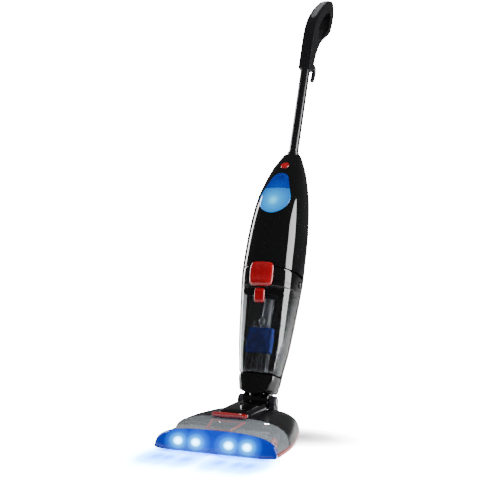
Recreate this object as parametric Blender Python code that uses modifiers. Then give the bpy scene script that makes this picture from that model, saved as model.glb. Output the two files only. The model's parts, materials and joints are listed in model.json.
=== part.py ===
"""Upright wet and dry floor washer, built as separate named pieces.

Metres, +Z up, +Y to the back, front of the floor head towards -Y.  The head
stands on the floor; the neck reclines on a cross pivot at the back of the
head, and the body turns on the neck about its own long axis.  Pieces of the
body are modelled upright in the body's own frame (origin on the pivot, local
Z up the body, local Y to its back) and are leant back by their parent empty.
"""
import math

import bmesh
import bpy
from mathutils import Vector

# Driving dimensions ---------------------------------------------------------
HEAD_FRONT_Y = -0.3887          # the lens's front edge, so that the box is centred on Y = 0
HEAD_WIDTH = 0.300
PIVOT_Y = 0.265                 # behind the front edge
PIVOT_Z = 0.075
LEAN = math.radians(21.5)       # how far the body leans back at rest
GAP = 0.0003                    # between pieces that touch
SEAM = 0.0010                   # from the body's mid plane to the back edges of its front covers
WALL = 0.0024                   # moulded shells
ARCH_POWER = 3.2                # squareness of the head's arched sections
CROSS = Vector((1, 0, 0))
UP = Vector((0, 0, 1))
BACK = Vector((0, 1, 0))

# Head: half width and crown height against the distance behind the front edge
HEAD_PLAN = [(0.0, 0.1490), (0.060, 0.1485), (0.112, 0.1450), (0.170, 0.1340),
             (0.249, 0.1120), (0.270, 0.1050), (0.284, 0.0900), (0.2935, 0.0600)]
HEAD_CROWN = [(0.0, 0.046), (0.022, 0.0530), (0.060, 0.0605), (0.104, 0.0665),
              (0.170, 0.0670), (0.240, 0.0620), (0.270, 0.0530), (0.2935, 0.0300)]
RIM_Z = 0.0125                  # lower edge of the window and of the rear cover
LENS_BACK = 0.0212
WINDOW_FRONT = 0.0225
WINDOW_BACK = 0.1040
COVER_FRONT = 0.1052
LAMP_X = (-0.084, -0.040, 0.040, 0.084)
ROLLER_Y = 0.060
ROLLER_Z = 0.0220
ROLLER_R = 0.0212
PULLEY_R = 0.0110                # on the roller
MOTOR_PULLEY_R = 0.0055
MOTOR_Y = 0.130
MOTOR_Z = 0.0290
WHEEL_Y = 0.2665
WHEEL_R = 0.0220
WHEEL_X = 0.0660
PIN_R = 0.0060

# Body: height up the axis, depth to the front, depth to the back, half width
BODY = [(0.020, 0.0415, 0.0330, 0.0465), (0.042, 0.0461, 0.0363, 0.0505),
        (0.071, 0.0513, 0.0398, 0.0535), (0.126, 0.0613, 0.0427, 0.0610),
        (0.210, 0.0770, 0.0439, 0.0675), (0.295, 0.0925, 0.0391, 0.0730),
        (0.342, 0.0952, 0.0337, 0.0730), (0.418, 0.0928, 0.0249, 0.0710),
        (0.492, 0.0849, 0.0204, 0.0640), (0.539, 0.0692, 0.0192, 0.0555),
        (0.590, 0.0465, 0.0186, 0.0420), (0.613, 0.0330, 0.0181, 0.0330),
        (0.637, 0.0185, 0.0180, 0.0225)]
BODY_BOTTOM = 0.0205
CHIN_DROP = 0.0125              # how far the lower cover dips at its front
TANK_BOTTOM = 0.0570
TANK_TOP = 0.2660
LID_TOP = 0.3120
COVER_BOTTOM = 0.3135
BODY_TOP = 0.6370
FRONT_POWER = 2.9               # squareness of the front half of the sections
REAR_POWER = 2.3
BAY_WALL = 0.0030               # front face of the wall behind the tank
RISER_BACK = -0.0170            # axis of the riser in the dirty-water tank
TUBE_R = 0.0125
TUBE_TOP = 0.9250
WINDOW_LOW = (0.4925, 0.0405)    # lower and upper circles of the drop-shaped window
WINDOW_HIGH = (0.5475, 0.0225)
WINDOW_SPLIT = 0.5230           # the lens ends and the filler cap begins
BUTTON_T = 0.5950
BUTTON_R = 0.0110

# Handle: outline of the side view and of the finger opening, (back, up)
HANDLE_OUT = [(-0.0145, 0.8850), (-0.0150, 0.9180), (-0.0152, 0.9560), (-0.0135, 0.9930),
              (-0.0060, 1.0260), (0.0110, 1.0590), (0.0340, 1.0900), (0.0600, 1.1180),
              (0.0820, 1.1370), (0.1000, 1.1330), (0.1110, 1.1080), (0.1100, 1.0770),
              (0.1000, 1.0470), (0.0720, 1.0180), (0.0430, 0.9860), (0.0240, 0.9420),
              (0.0145, 0.8850)]
HANDLE_HOLE = [(0.0175, 0.9985), (0.0185, 1.0250), (0.0330, 1.0510), (0.0540, 1.0800),
               (0.0740, 1.1040), (0.0870, 1.1050), (0.0915, 1.0830), (0.0870, 1.0540),
               (0.0680, 1.0270), (0.0430, 1.0010), (0.0250, 0.9905)]
HANDLE_HALF = 0.0150
STEM_LOW = (-0.0022, 0.0140, 1.0045)     # the trigger's stem, which runs through the grip's wall
STEM_HIGH = (0.0022, 0.0225, 1.0125)
STEM_PLAY = 0.0008
HOOK_T = 0.9000
PAD_SPAN = (9, 22)               # stretch of the outline that the grip pad covers

parts = None
cutters = None


# Making objects -------------------------------------------------------------
def clear_scene():
    """Remove whatever the file opened with."""
    for obj in list(bpy.data.objects):
        bpy.data.objects.remove(obj, do_unlink=True)


def collection(name):
    made = bpy.data.collections.new(name)
    bpy.context.scene.collection.children.link(made)
    return made


def material(name, colour, roughness=0.4, metallic=0.0, alpha=1.0):
    """A Principled material; pieces of the same colour share it."""
    made = bpy.data.materials.get(name)
    if made is None:
        made = bpy.data.materials.new(name)
        made.use_nodes = True
        shader = made.node_tree.nodes["Principled BSDF"]
        shader.inputs["Base Color"].default_value = (*colour, 1.0)
        shader.inputs["Roughness"].default_value = roughness
        shader.inputs["Metallic"].default_value = metallic
        shader.inputs["Alpha"].default_value = alpha
        made.diffuse_color = (*colour, alpha)
    return made


FINISHES = {
    "gloss_black": ((0.010, 0.010, 0.012), 0.10),
    "satin_black": ((0.020, 0.020, 0.022), 0.38),
    "dark_grey": ((0.060, 0.060, 0.065), 0.45),
    "mid_grey": ((0.250, 0.250, 0.260), 0.45),
    "red": ((0.620, 0.010, 0.012), 0.20),
    "rubber": ((0.012, 0.012, 0.012), 0.75),
    "steel": ((0.600, 0.600, 0.620), 0.30, 1.0),
    "board_green": ((0.020, 0.120, 0.050), 0.50),
    "pile": ((0.120, 0.160, 0.220), 0.90),
    "filter_blue": ((0.010, 0.040, 0.200), 0.80),
    "clear": ((0.750, 0.800, 0.820), 0.05, 0.0, 0.35),
    "lens_blue": ((0.010, 0.120, 0.900), 0.05, 0.0, 0.60),
    "window_blue": ((0.150, 0.550, 0.950), 0.05, 0.0, 0.60),
    "led_white": ((0.900, 0.950, 1.000), 0.20),
}


def keep(obj, name, finish, parent=None):
    """Name an object, give it its finish and parent, and list it as a piece."""
    obj.name = name
    obj.data.name = name
    obj.data.materials.clear()
    obj.data.materials.append(material(finish, *FINISHES[finish]))
    obj.parent = parent
    for owner in list(obj.users_collection):
        owner.objects.unlink(obj)
    parts.objects.link(obj)
    if obj.type == "MESH":
        obj.data.shade_smooth()
        obj.data.set_sharp_from_angle(angle=math.radians(35))
    return obj


def as_cutter(obj, parent=None):
    """Make an object a cutter, which is not a piece."""
    obj.name = "cut_" + obj.name
    obj.parent = parent
    obj.hide_render = True
    obj.display_type = "WIRE"
    for owner in list(obj.users_collection):
        owner.objects.unlink(obj)
    cutters.objects.link(obj)
    return obj


def combine(obj, tool, operation="DIFFERENCE", solver="EXACT"):
    """A Boolean against a cutter; MANIFOLD is for the bevelled handle, where EXACT fails."""
    mod = obj.modifiers.new(operation.lower(), "BOOLEAN")
    mod.object = tool
    mod.operation = operation
    mod.solver = solver


def mesh_object(name, mesh):
    obj = bpy.data.objects.new(name, mesh)
    bpy.context.scene.collection.objects.link(obj)
    return obj


def turned_to(direction):
    """The rotation that takes +Z to a direction."""
    return UP.rotation_difference(Vector(direction)).to_euler()


def box(name, low, high):
    """A block between two corners, its size in the mesh and its place in the object."""
    mesh = bpy.data.meshes.new(name)
    shape = bmesh.new()
    bmesh.ops.create_cube(shape, size=1.0)
    size = [b - a for a, b in zip(low, high)]
    bmesh.ops.scale(shape, vec=size, verts=shape.verts)
    shape.to_mesh(mesh)
    shape.free()
    obj = mesh_object(name, mesh)
    obj.location = [(a + b) / 2 for a, b in zip(low, high)]
    return obj


def rounded(obj, width, segments=2):
    """Bevel every edge of an object."""
    mod = obj.modifiers.new("rounding", "BEVEL")
    mod.width = width
    mod.segments = segments
    mod.limit_method = "ANGLE"
    mod.angle_limit = math.radians(40)
    return obj


def cylinder(name, radius, start, end, sides=24):
    """A capped cylinder between two points."""
    start, end = Vector(start), Vector(end)
    mesh = bpy.data.meshes.new(name)
    shape = bmesh.new()
    bmesh.ops.create_cone(shape, cap_ends=True, segments=sides, radius1=radius,
                          radius2=radius, depth=(end - start).length)
    shape.to_mesh(mesh)
    shape.free()
    obj = mesh_object(name, mesh)
    obj.location = (start + end) / 2
    obj.rotation_euler = turned_to(end - start)
    return obj


def turned(name, profile, origin=(0, 0, 0), axis=UP, steps=20, ring=False):
    """A turned piece: (radius, height) points down the outer side, spun about an axis."""
    mesh = bpy.data.meshes.new(name)
    shape = bmesh.new()
    verts = [shape.verts.new((radius, 0, height)) for radius, height in profile]
    pairs = list(zip(verts, verts[1:]))
    if ring:
        pairs.append((verts[-1], verts[0]))
    for first, second in pairs:
        shape.edges.new((first, second))
    shape.to_mesh(mesh)
    shape.free()
    obj = mesh_object(name, mesh)
    mod = obj.modifiers.new("turning", "SCREW")
    mod.steps = steps
    mod.render_steps = steps
    mod.use_merge_vertices = True
    mod.merge_threshold = 0.00001
    obj.location = origin
    obj.rotation_euler = turned_to(axis)
    return obj


def ring_profile(outer, inner, low, high):
    """The profile of a plain ring, for a turned piece."""
    return [(outer, high), (outer, low), (inner, low), (inner, high)]


def plate(name, outlines, thickness):
    """A flat piece from closed outlines in local XY, centred on its thickness."""
    curve = bpy.data.curves.new(name, "CURVE")
    curve.dimensions = "2D"
    curve.fill_mode = "BOTH"
    curve.extrude = thickness / 2
    for outline in outlines:
        spline = curve.splines.new("POLY")
        spline.points.add(len(outline) - 1)
        for point, (x, y) in zip(spline.points, outline):
            point.co = (x, y, 0, 1)
        spline.use_cyclic_u = True
    return to_mesh(name, curve)


def to_mesh(name, curve):
    """Turn a curve into a welded mesh object, so that it can be cut."""
    temp = bpy.data.objects.new(name, curve)
    bpy.context.scene.collection.objects.link(temp)
    graph = bpy.context.evaluated_depsgraph_get()
    mesh = bpy.data.meshes.new_from_object(temp.evaluated_get(graph))
    bpy.data.objects.remove(temp, do_unlink=True)
    shape = bmesh.new()
    shape.from_mesh(mesh)
    bmesh.ops.remove_doubles(shape, verts=shape.verts, dist=0.00001)
    bmesh.ops.recalc_face_normals(shape, faces=shape.faces)
    shape.to_mesh(mesh)
    shape.free()
    return mesh_object(name, mesh)


def rod(name, points, radius, sides=2):
    """A round rod along a smooth line through points."""
    curve = bpy.data.curves.new(name, "CURVE")
    curve.dimensions = "3D"
    curve.bevel_depth = radius
    curve.bevel_resolution = sides
    curve.use_fill_caps = True
    route = smooth_line(points, 3)
    spline = curve.splines.new("POLY")
    spline.points.add(len(route) - 1)
    for point, place in zip(spline.points, route):
        point.co = (*place, 1)
    return to_mesh(name, curve)


def loft(name, rings, closed_rings=True, caps=False, around=False):
    """Quads between rings of equal length; caps closes the ends, around joins last to first."""
    mesh = bpy.data.meshes.new(name)
    shape = bmesh.new()
    rows = [[shape.verts.new(point) for point in ring] for ring in rings]
    count = len(rows[0])
    pairs = list(zip(rows, rows[1:]))
    if around:
        pairs.append((rows[-1], rows[0]))
    for lower, upper in pairs:
        for i in range(count if closed_rings else count - 1):
            j = (i + 1) % count
            shape.faces.new((lower[i], lower[j], upper[j], upper[i]))
    if caps:
        shape.faces.new(list(reversed(rows[0])))
        shape.faces.new(rows[-1])
    if caps or around:
        bmesh.ops.recalc_face_normals(shape, faces=shape.faces)
    shape.to_mesh(mesh)
    shape.free()
    return mesh_object(name, mesh)


def shell(obj, wall=WALL):
    """Give an open surface a wall on its inner side."""
    mod = obj.modifiers.new("wall", "SOLIDIFY")
    mod.thickness = wall
    mod.offset = -1.0
    return obj


# Curves and sections --------------------------------------------------------
def smooth_line(points, steps, closed=False):
    """Points along a Catmull-Rom curve through the given points."""
    points = [Vector(p) for p in points]
    count = len(points)
    out = []
    for i in range(count if closed else count - 1):
        if closed:
            p0, p1, p2, p3 = (points[(i + k) % count] for k in (-1, 0, 1, 2))
        else:
            p1, p2 = points[i], points[i + 1]
            p0 = points[i - 1] if i else p1 * 2 - p2
            p3 = points[i + 2] if i + 2 < count else p2 * 2 - p1
        for k in range(steps):
            s = k / steps
            out.append(0.5 * (2 * p1 + (p2 - p0) * s + (2 * p0 - 5 * p1 + 4 * p2 - p3) * s ** 2
                              + (3 * p1 - p0 - 3 * p2 + p3) * s ** 3))
    if not closed:
        out.append(points[-1])
    return out


def smooth_value(table, at, column=1):
    """A smooth value read from a table of stations (cubic, slopes from neighbours)."""
    last = len(table) - 1
    if at <= table[0][0]:
        return table[0][column]
    if at >= table[last][0]:
        return table[last][column]
    i = max(k for k in range(last) if table[k][0] <= at)

    def slope(k):
        a, b = max(k - 1, 0), min(k + 1, last)
        return (table[b][column] - table[a][column]) / (table[b][0] - table[a][0])

    span = table[i + 1][0] - table[i][0]
    s = (at - table[i][0]) / span
    return ((2 * s ** 3 - 3 * s ** 2 + 1) * table[i][column]
            + (s ** 3 - 2 * s ** 2 + s) * span * slope(i)
            + (3 * s ** 2 - 2 * s ** 3) * table[i + 1][column]
            + (s ** 3 - s ** 2) * span * slope(i + 1))


def between(low, high, count):
    """Evenly spaced values from low to high."""
    return [low + (high - low) * i / (count - 1) for i in range(count)]


def superellipse(angle, half_x, half_y, power):
    """A point of a superellipse at an angle."""
    c, s = math.cos(angle), math.sin(angle)
    return (math.copysign(abs(c) ** (2 / power), c) * half_x,
            math.copysign(abs(s) ** (2 / power), s) * half_y)


def front_arc(t, inset=0.0, count=15, ahead=0.0):
    """The front half of the body's section at t, from -X to +X, its ends ahead of the mid plane."""
    depth = smooth_value(BODY, t, 1) - inset - ahead
    half = smooth_value(BODY, t, 3) - inset
    points = [superellipse(-a, half, depth, FRONT_POWER) for a in between(math.pi, 0, count)]
    return [(x, y - ahead, t) for x, y in points]


def rear_arc(t, inset=0.0, count=12):
    """The rear half of the body's section at t, from +X round the back to -X."""
    depth = smooth_value(BODY, t, 2) - inset
    half = smooth_value(BODY, t, 3) - inset
    points = [superellipse(a, half, depth, REAR_POWER) for a in between(0, math.pi, count)]
    return [(x, y, t) for x, y in points]


def head_arch(y, inset=0.0, rim=RIM_Z, count=19):
    """The head's arched section at y, from the right rim over the crown to the left rim."""
    half = smooth_value(HEAD_PLAN, y) - inset
    crown = smooth_value(HEAD_CROWN, y) - inset
    start = math.asin(min(1.0, (rim / crown) ** (ARCH_POWER / 2)))
    out = []
    for angle in between(start, math.pi - start, count):
        x, z = superellipse(angle, half, crown, ARCH_POWER)
        out.append((x, y, z))
    return out


def head_outline(inset, front, count=16, back=HEAD_PLAN[-1][0]):
    """The head's plan outline between a front and a back line, as a closed list."""
    stations = between(front, back, count)
    right = [(smooth_value(HEAD_PLAN, y) - inset, y) for y in stations]
    return right + [(-x, y) for x, y in reversed(right)]


def drop_outline(grow=0.0):
    """The window's drop shape: two circles and their common tangents."""
    (low_t, low_r), (high_t, high_r) = WINDOW_LOW, WINDOW_HIGH
    tilt = math.asin((low_r - high_r) / (high_t - low_t))
    low = [(math.cos(a) * (low_r + grow), low_t + math.sin(a) * (low_r + grow))
           for a in between(math.pi - tilt, 2 * math.pi + tilt, 17)]
    high = [(math.cos(a) * (high_r + grow), high_t + math.sin(a) * (high_r + grow))
            for a in between(tilt, math.pi - tilt, 9)]
    return low + high


def grown(outline, distance):
    """Grow a closed outline by moving each point along its normal; negative shrinks it."""
    area = sum(a[0] * b[1] - b[0] * a[1] for a, b in zip(outline, outline[1:] + outline[:1]))
    outward = distance if area > 0 else -distance
    out = []
    for i, point in enumerate(outline):
        before, after = outline[i - 1], outline[(i + 1) % len(outline)]
        along = Vector((after[0] - before[0], after[1] - before[1])).normalized()
        out.append((point[0] + along.y * outward, point[1] - along.x * outward))
    return out


# Head -----------------------------------------------------------------------
def make_front_lens(head):
    """Lens that wraps the front of the head, lowest at its two ends."""
    half = HEAD_WIDTH / 2 - 0.001
    columns = []
    for s in between(-1, 1, 27):
        x = math.copysign(abs(s) ** 0.85, s) * half
        top = 0.050 * (1 - abs(x / (half + 0.0012)) ** ARCH_POWER) ** (1 / ARCH_POWER) + 0.002
        wrap = 0.012 * max(0.0, abs(x / half) - 0.72) ** 2 / 0.28 ** 2
        depth = LENS_BACK - wrap
        column = []
        for a in between(0, math.pi / 2, 7):
            column.append((x, wrap + depth * (1 - math.cos(a)), 0.004 + (top - 0.004) * math.sin(a)))
        columns.append(column)
    lens = shell(loft("front_lens", list(reversed(columns)), closed_rings=False), 0.0022)
    return keep(lens, "front_lens", "lens_blue", head)


def make_lamps(head):
    """Circuit board behind the lens, and the moulded strip with its four reflector cups."""
    keep(box("led_board", (-0.105, 0.0238, 0.0160), (0.105, 0.0254, 0.0340)),
         "led_board", "board_green", head)
    strip = box("led_reflector", (-0.0990, 0.0150, 0.0150), (0.0990, 0.0234, 0.0350))
    for x in LAMP_X:
        bowl = turned("bowl", [(0.0, 0.0120), (0.0095, 0.0120), (0.0080, 0.0080), (0.0, 0.0012)],
                      (x, 0.0234, 0.0250), -BACK, steps=20)
        combine(strip, as_cutter(bowl, head))
    keep(strip, "led_reflector", "led_white", head)


def make_window_cover(head):
    """Clear cover over the roller, down to the rim at both sides."""
    arches = [head_arch(y) for y in between(WINDOW_FRONT, WINDOW_BACK, 6)]
    cover = shell(loft("window_cover", list(reversed(arches)), closed_rings=False), 0.0022)
    return keep(cover, "window_cover", "clear", head)


def make_window_latch(head):
    """Bar latch on the rear edge of the window."""
    latch = rounded(box("window_latch", (-0.0425, 0.0905, 0.0673), (0.0425, 0.1045, 0.0763)), 0.003)
    return keep(latch, "window_latch", "red", head)


def make_suction_frame(head):
    """Trapezoid frame that leads dirt from the roller to the duct, below the window."""
    outer = [(-0.030, -0.030), (0.030, -0.030), (0.042, 0.030), (-0.042, 0.030)]
    inner = [(-0.026, -0.026), (0.026, -0.026), (0.037, 0.026), (-0.037, 0.026)]
    frame = plate("suction_frame", [outer, inner], 0.0045)
    frame.location = (0, 0.0625, 0.0545)
    frame.rotation_euler = (math.radians(8.5), 0, 0)
    return keep(frame, "suction_frame", "red", head)


def make_roller_hood(head):
    """Half-round hood over the roller."""
    inner, outer = 0.0242, 0.0260
    angles = between(math.radians(8), math.radians(172), 15)
    ring = [(ROLLER_Y + math.cos(a) * outer, ROLLER_Z + math.sin(a) * outer) for a in angles]
    ring += [(ROLLER_Y + math.cos(a) * inner, ROLLER_Z + math.sin(a) * inner)
             for a in reversed(angles)]
    hood = loft("roller_hood", [[(x, y, z) for y, z in ring] for x in (0.1100, -0.1100)], caps=True)
    port = box("hood_port", (-0.024, 0.046, 0.040), (0.024, 0.074, 0.055))
    combine(hood, as_cutter(port, head))
    return keep(hood, "roller_hood", "mid_grey", head)


def make_roller(head):
    """Core with its pulley and stub axles, pile sleeve and end cap, all turned about X."""
    place = (0, ROLLER_Y, ROLLER_Z)
    core = [(0.0, 0.1275), (0.0040, 0.1275), (0.0040, 0.1130), (0.0125, 0.1130),
            (0.0125, -0.1130), (0.0040, -0.1130), (0.0040, -0.1235), (PULLEY_R, -0.1235),
            (PULLEY_R, -0.1295), (0.0, -0.1295)]
    keep(turned("core", core, place, CROSS, steps=24), "roller_core", "dark_grey", head)
    pile = ring_profile(ROLLER_R, 0.0128, -0.1080, 0.1080)
    keep(turned("pile", pile, place, CROSS, steps=28, ring=True), "roller_pile", "pile", head)
    cap = ring_profile(0.0160, 0.0043, 0.1215, 0.1270)
    keep(turned("cap", cap, place, CROSS, steps=20, ring=True), "roller_end_cap", "red", head)


def belt_loop(grow, count=11):
    """The belt's line round the two pulleys, as (y, z) points."""
    first, second = Vector((ROLLER_Y, ROLLER_Z)), Vector((MOTOR_Y, MOTOR_Z))
    apart = second - first
    bearing = math.atan2(apart.y, apart.x)
    lean = math.acos((PULLEY_R - MOTOR_PULLEY_R) / apart.length)
    out = [first + Vector((math.cos(a), math.sin(a))) * (PULLEY_R + grow)
           for a in between(bearing + lean, bearing + 2 * math.pi - lean, count)]
    out += [second + Vector((math.cos(a), math.sin(a))) * (MOTOR_PULLEY_R + grow)
            for a in between(bearing - lean, bearing + lean, count)]
    return out


def make_drive(head):
    """Brush motor, its pulley and the belt to the roller."""
    motor = turned("motor", [(0.0, 0.0750), (0.0165, 0.0750), (0.0165, 0.0), (0.0, 0.0)],
                   (-0.1150, MOTOR_Y, MOTOR_Z), CROSS, steps=24)
    keep(motor, "brush_motor", "steel", head)
    pulley = [(0.0, -0.1155), (0.0020, -0.1155), (0.0020, -0.1235), (MOTOR_PULLEY_R, -0.1235),
              (MOTOR_PULLEY_R, -0.1295), (0.0, -0.1295)]
    keep(turned("motor_pulley", pulley, (0, MOTOR_Y, MOTOR_Z), CROSS, steps=16),
         "motor_pulley", "steel", head)
    outer = [(-0.1245, p.x, p.y) for p in belt_loop(0.0015)]
    inner = [(-0.1245, p.x, p.y) for p in belt_loop(GAP)]
    far_inner = [(-0.1285, y, z) for _, y, z in inner]
    far_outer = [(-0.1285, y, z) for _, y, z in outer]
    belt = loft("drive_belt", [outer, inner, far_inner, far_outer], around=True)
    keep(belt, "drive_belt", "rubber", head)


def make_chassis(head):
    """Base frame: sole plate, roller plates, partition, and the ears that carry the neck."""
    sole = plate("head_chassis", [head_outline(0.0066, 0.0300, back=0.2780)], 0.0035)
    sole.location = (0, 0, 0.0065 + 0.00175)
    for side in (1, -1):
        end = box("end_plate", (side * 0.1185 - 0.0020, 0.0300, 0.0080),
                  (side * 0.1185 + 0.0020, 0.1045, 0.0405))
        combine(sole, as_cutter(end, head), "UNION")
        ear = box("ear", (side * 0.0415 - 0.0060, 0.2510, 0.0080),
                  (side * 0.0415 + 0.0060, 0.2790, PIVOT_Z))
        combine(sole, as_cutter(ear, head), "UNION")
        knuckle = cylinder("knuckle", 0.0138, (side * 0.0355, PIVOT_Y, PIVOT_Z),
                           (side * 0.0475, PIVOT_Y, PIVOT_Z))
        combine(sole, as_cutter(knuckle, head), "UNION")
    wall = box("partition", (-0.1180, 0.1010, 0.0080), (0.1180, 0.1040, 0.0500))
    combine(sole, as_cutter(wall, head), "UNION")
    for name, low, high in (("mouth", (-0.1145, 0.0345, 0.0), (0.1145, 0.0860, 0.0105)),
                            ("duct_port", (-0.0250, 0.095, 0.0240), (0.0250, 0.110, 0.0460)),
                            ("left_pocket", (-0.0755, 0.2430, 0.0), (-0.0565, 0.3100, 0.05)),
                            ("right_pocket", (0.0565, 0.2430, 0.0), (0.0755, 0.3100, 0.05)),
                            ("belt_pocket", (-0.1300, 0.0450, 0.0), (-0.1210, 0.0750, 0.0105)),
                            ("cap_pocket", (0.1208, 0.0420, 0.0), (0.1280, 0.0780, 0.0105))):
        combine(sole, as_cutter(box(name, low, high), head))
    for name, radius, y, z, reach in (("roller_hole", 0.0045, ROLLER_Y, ROLLER_Z, 0.125),
                                      ("axle_hole", 0.0028, WHEEL_Y, WHEEL_R, 0.062),
                                      ("pin_hole", PIN_R + GAP, PIVOT_Y, PIVOT_Z, 0.062)):
        bore = cylinder(name, radius, (-reach, y, z), (reach, y, z), 16)
        combine(sole, as_cutter(bore, head))
    return keep(sole, "head_chassis", "dark_grey", head)


def make_head_cover(head):
    """Rear cover of the head, open for the cowl, the neck and the wheels."""
    stations = between(COVER_FRONT, 0.270, 7) + [0.281, 0.288, 0.2932]
    arches = [head_arch(y) for y in stations]
    cover = shell(loft("head_cover", list(reversed(arches)), closed_rings=False))
    slot = box("neck_slot", (-0.0515, 0.2300, 0.0), (0.0515, 0.3100, 0.1000))
    cowl_hole = box("cowl_hole", (-0.0415, 0.1100, 0.0300), (0.0415, 0.2320, 0.1000))
    for tool in (slot, cowl_hole):
        combine(cover, as_cutter(tool, head))
    for side in (1, -1):
        arch = box("wheel_arch", (side * WHEEL_X - 0.0095, 0.2420, -0.01),
                   (side * WHEEL_X + 0.0095, 0.3100, 0.0460))
        combine(cover, as_cutter(arch, head))
    return keep(cover, "head_cover", "satin_black", head)


def make_cowl(head):
    """Raised cowl between the latch and the neck, hollow from below."""
    rings = []
    for y, half, top in ((0.1105, 0.0340, 0.0700), (0.1130, 0.0385, 0.0760), (0.1250, 0.0405, 0.0800),
                         (0.1700, 0.0410, 0.0830), (0.2150, 0.0410, 0.0820), (0.2270, 0.0390, 0.0800),
                         (0.2310, 0.0360, 0.0760)):
        rings.append([(x, y, 0.0560 + z) for x, z in
                      (superellipse(a, half, top - 0.0560, 4.0) for a in between(0, math.pi, 15))])
    cowl = shell(loft("neck_cowl", list(reversed(rings)), closed_rings=False), 0.0022)
    return keep(cowl, "neck_cowl", "gloss_black", head)


def make_skirt(head):
    """Bumper strip round the sides and back, below the covers."""
    outline = head_outline(0.0, 0.0260, 18)
    rings = [[(x, y, z) for x, y in outline] for z in (0.0035, 0.0118)]
    keep(shell(loft("side_skirt", rings, closed_rings=False), 0.0022), "side_skirt", "red", head)


def make_head_small_parts(head):
    """Wiper lip, spray bar, duct, axle, wheels and neck pins."""
    keep(box("lip", (-0.1100, 0.0890, 0.0), (0.1100, 0.0925, 0.0062)),
         "squeegee", "rubber", head)
    bar = cylinder("spray_bar", 0.0030, (-0.1000, 0.0945, 0.0400), (0.1000, 0.0945, 0.0400), 12)
    keep(bar, "spray_bar", "mid_grey", head)
    rings = []
    for half, low, high in ((0.0280, 0.0215, 0.0480), (0.0265, 0.0230, 0.0465)):
        rings.append([(half, low), (half, high), (-half, high), (-half, low)])
    outer, inner = rings
    front, back = 0.1050, 0.2380
    duct = loft("suction_duct", [[(x, front, z) for x, z in outer], [(x, back, z) for x, z in outer],
                                 [(x, back, z) for x, z in inner], [(x, front, z) for x, z in inner]],
                around=True)
    keep(duct, "suction_duct", "dark_grey", head)
    keep(cylinder("axle", 0.0025, (-0.0750, WHEEL_Y, WHEEL_R), (0.0750, WHEEL_Y, WHEEL_R), 12),
         "rear_axle", "steel", head)
    for side, label in ((-1, "left"), (1, "right")):
        place = (side * WHEEL_X, WHEEL_Y, WHEEL_R)
        wheel = [(0.0205, 0.0080), (WHEEL_R, 0.0060), (WHEEL_R, -0.0060), (0.0205, -0.0080),
                 (0.0150, -0.0080), (0.0140, -0.0050), (0.0060, -0.0050), (0.0060, -0.0080),
                 (0.0028, -0.0080), (0.0028, 0.0080)]
        keep(turned("wheel", wheel, place, CROSS * side, steps=28, ring=True),
             "rear_wheel_" + label, "rubber", head)
        pin = [(0.0, 0.0505), (0.0090, 0.0505), (0.0090, 0.0478), (PIN_R, 0.0478),
               (PIN_R, 0.0270), (0.0, 0.0270)]
        keep(turned("pin", pin, (0, PIVOT_Y, PIVOT_Z), CROSS * side, steps=20),
             "neck_pin_" + label, "steel", head)


# Neck -----------------------------------------------------------------------
def make_neck(neck):
    """Hollow yoke on the cross pivot with the journal that the body turns on."""
    yoke = cylinder("neck_yoke", 0.0205, (-0.0330, 0, 0), (0.0330, 0, 0), 32)
    throat = turned("throat", [(0.0, 0.0450), (0.0205, 0.0450), (0.0205, 0.0155), (0.0240, 0.0155),
                               (0.0240, -0.0040), (0.0, -0.0040)], steps=32)
    combine(yoke, as_cutter(throat, neck), "UNION")
    combine(yoke, as_cutter(cylinder("bore", 0.0165, (0, 0, -0.03), (0, 0, 0.07)), neck))
    pins = cylinder("pin_bore", PIN_R + GAP, (0.0255, 0, 0), (0.0420, 0, 0), 16)
    combine(yoke, as_cutter(pins, neck))
    pins = cylinder("pin_bore", PIN_R + GAP, (-0.0420, 0, 0), (-0.0255, 0, 0), 16)
    combine(yoke, as_cutter(pins, neck))
    keep(yoke, "neck_yoke", "gloss_black", neck)
    ring = turned("retaining_ring", ring_profile(0.0262, 0.0208, 0.0405, 0.0425), ring=True)
    keep(ring, "retaining_ring", "steel", neck)


# Body -----------------------------------------------------------------------
def dipped(ring):
    """Lower the middle of a ring of the lower cover, most at its bottom edge."""
    top = TANK_BOTTOM - 0.0012
    return [(x, y, t - CHIN_DROP * max(0.0, 1 - (x / 0.036) ** 2) * (top - t) / (top - BODY_BOTTOM))
            for x, y, t in ring]


def make_shells(body):
    """Rear shell, chin cover, and the base whose sleeve turns on the neck's journal."""
    rear = [rear_arc(t) for t in between(BODY_BOTTOM, BODY_TOP, 15)]
    keep(shell(loft("rear_shell", rear, closed_rings=False)), "rear_shell", "satin_black", body)
    chin = [dipped(front_arc(t, ahead=SEAM)) for t in between(BODY_BOTTOM, TANK_BOTTOM - 0.0012, 5)]
    keep(shell(loft("chin_cover", chin, closed_rings=False)), "chin_cover", "gloss_black", body)
    outline = front_arc(0.0240, 0.0042)[:-1] + rear_arc(0.0240, 0.0042)[:-1]
    base = plate("swivel_base", [[(x, y) for x, y, _ in outline]], 0.0030)
    base.location = (0, 0, 0.0225)
    combine(base, as_cutter(cylinder("sleeve", 0.0275, (0, 0, 0.0215), (0, 0, 0.0400), 32), body), "UNION")
    combine(base, as_cutter(cylinder("journal_bore", 0.0210, (0, 0, 0.01), (0, 0, 0.06), 32), body))
    keep(base, "swivel_base", "dark_grey", body)


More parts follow.
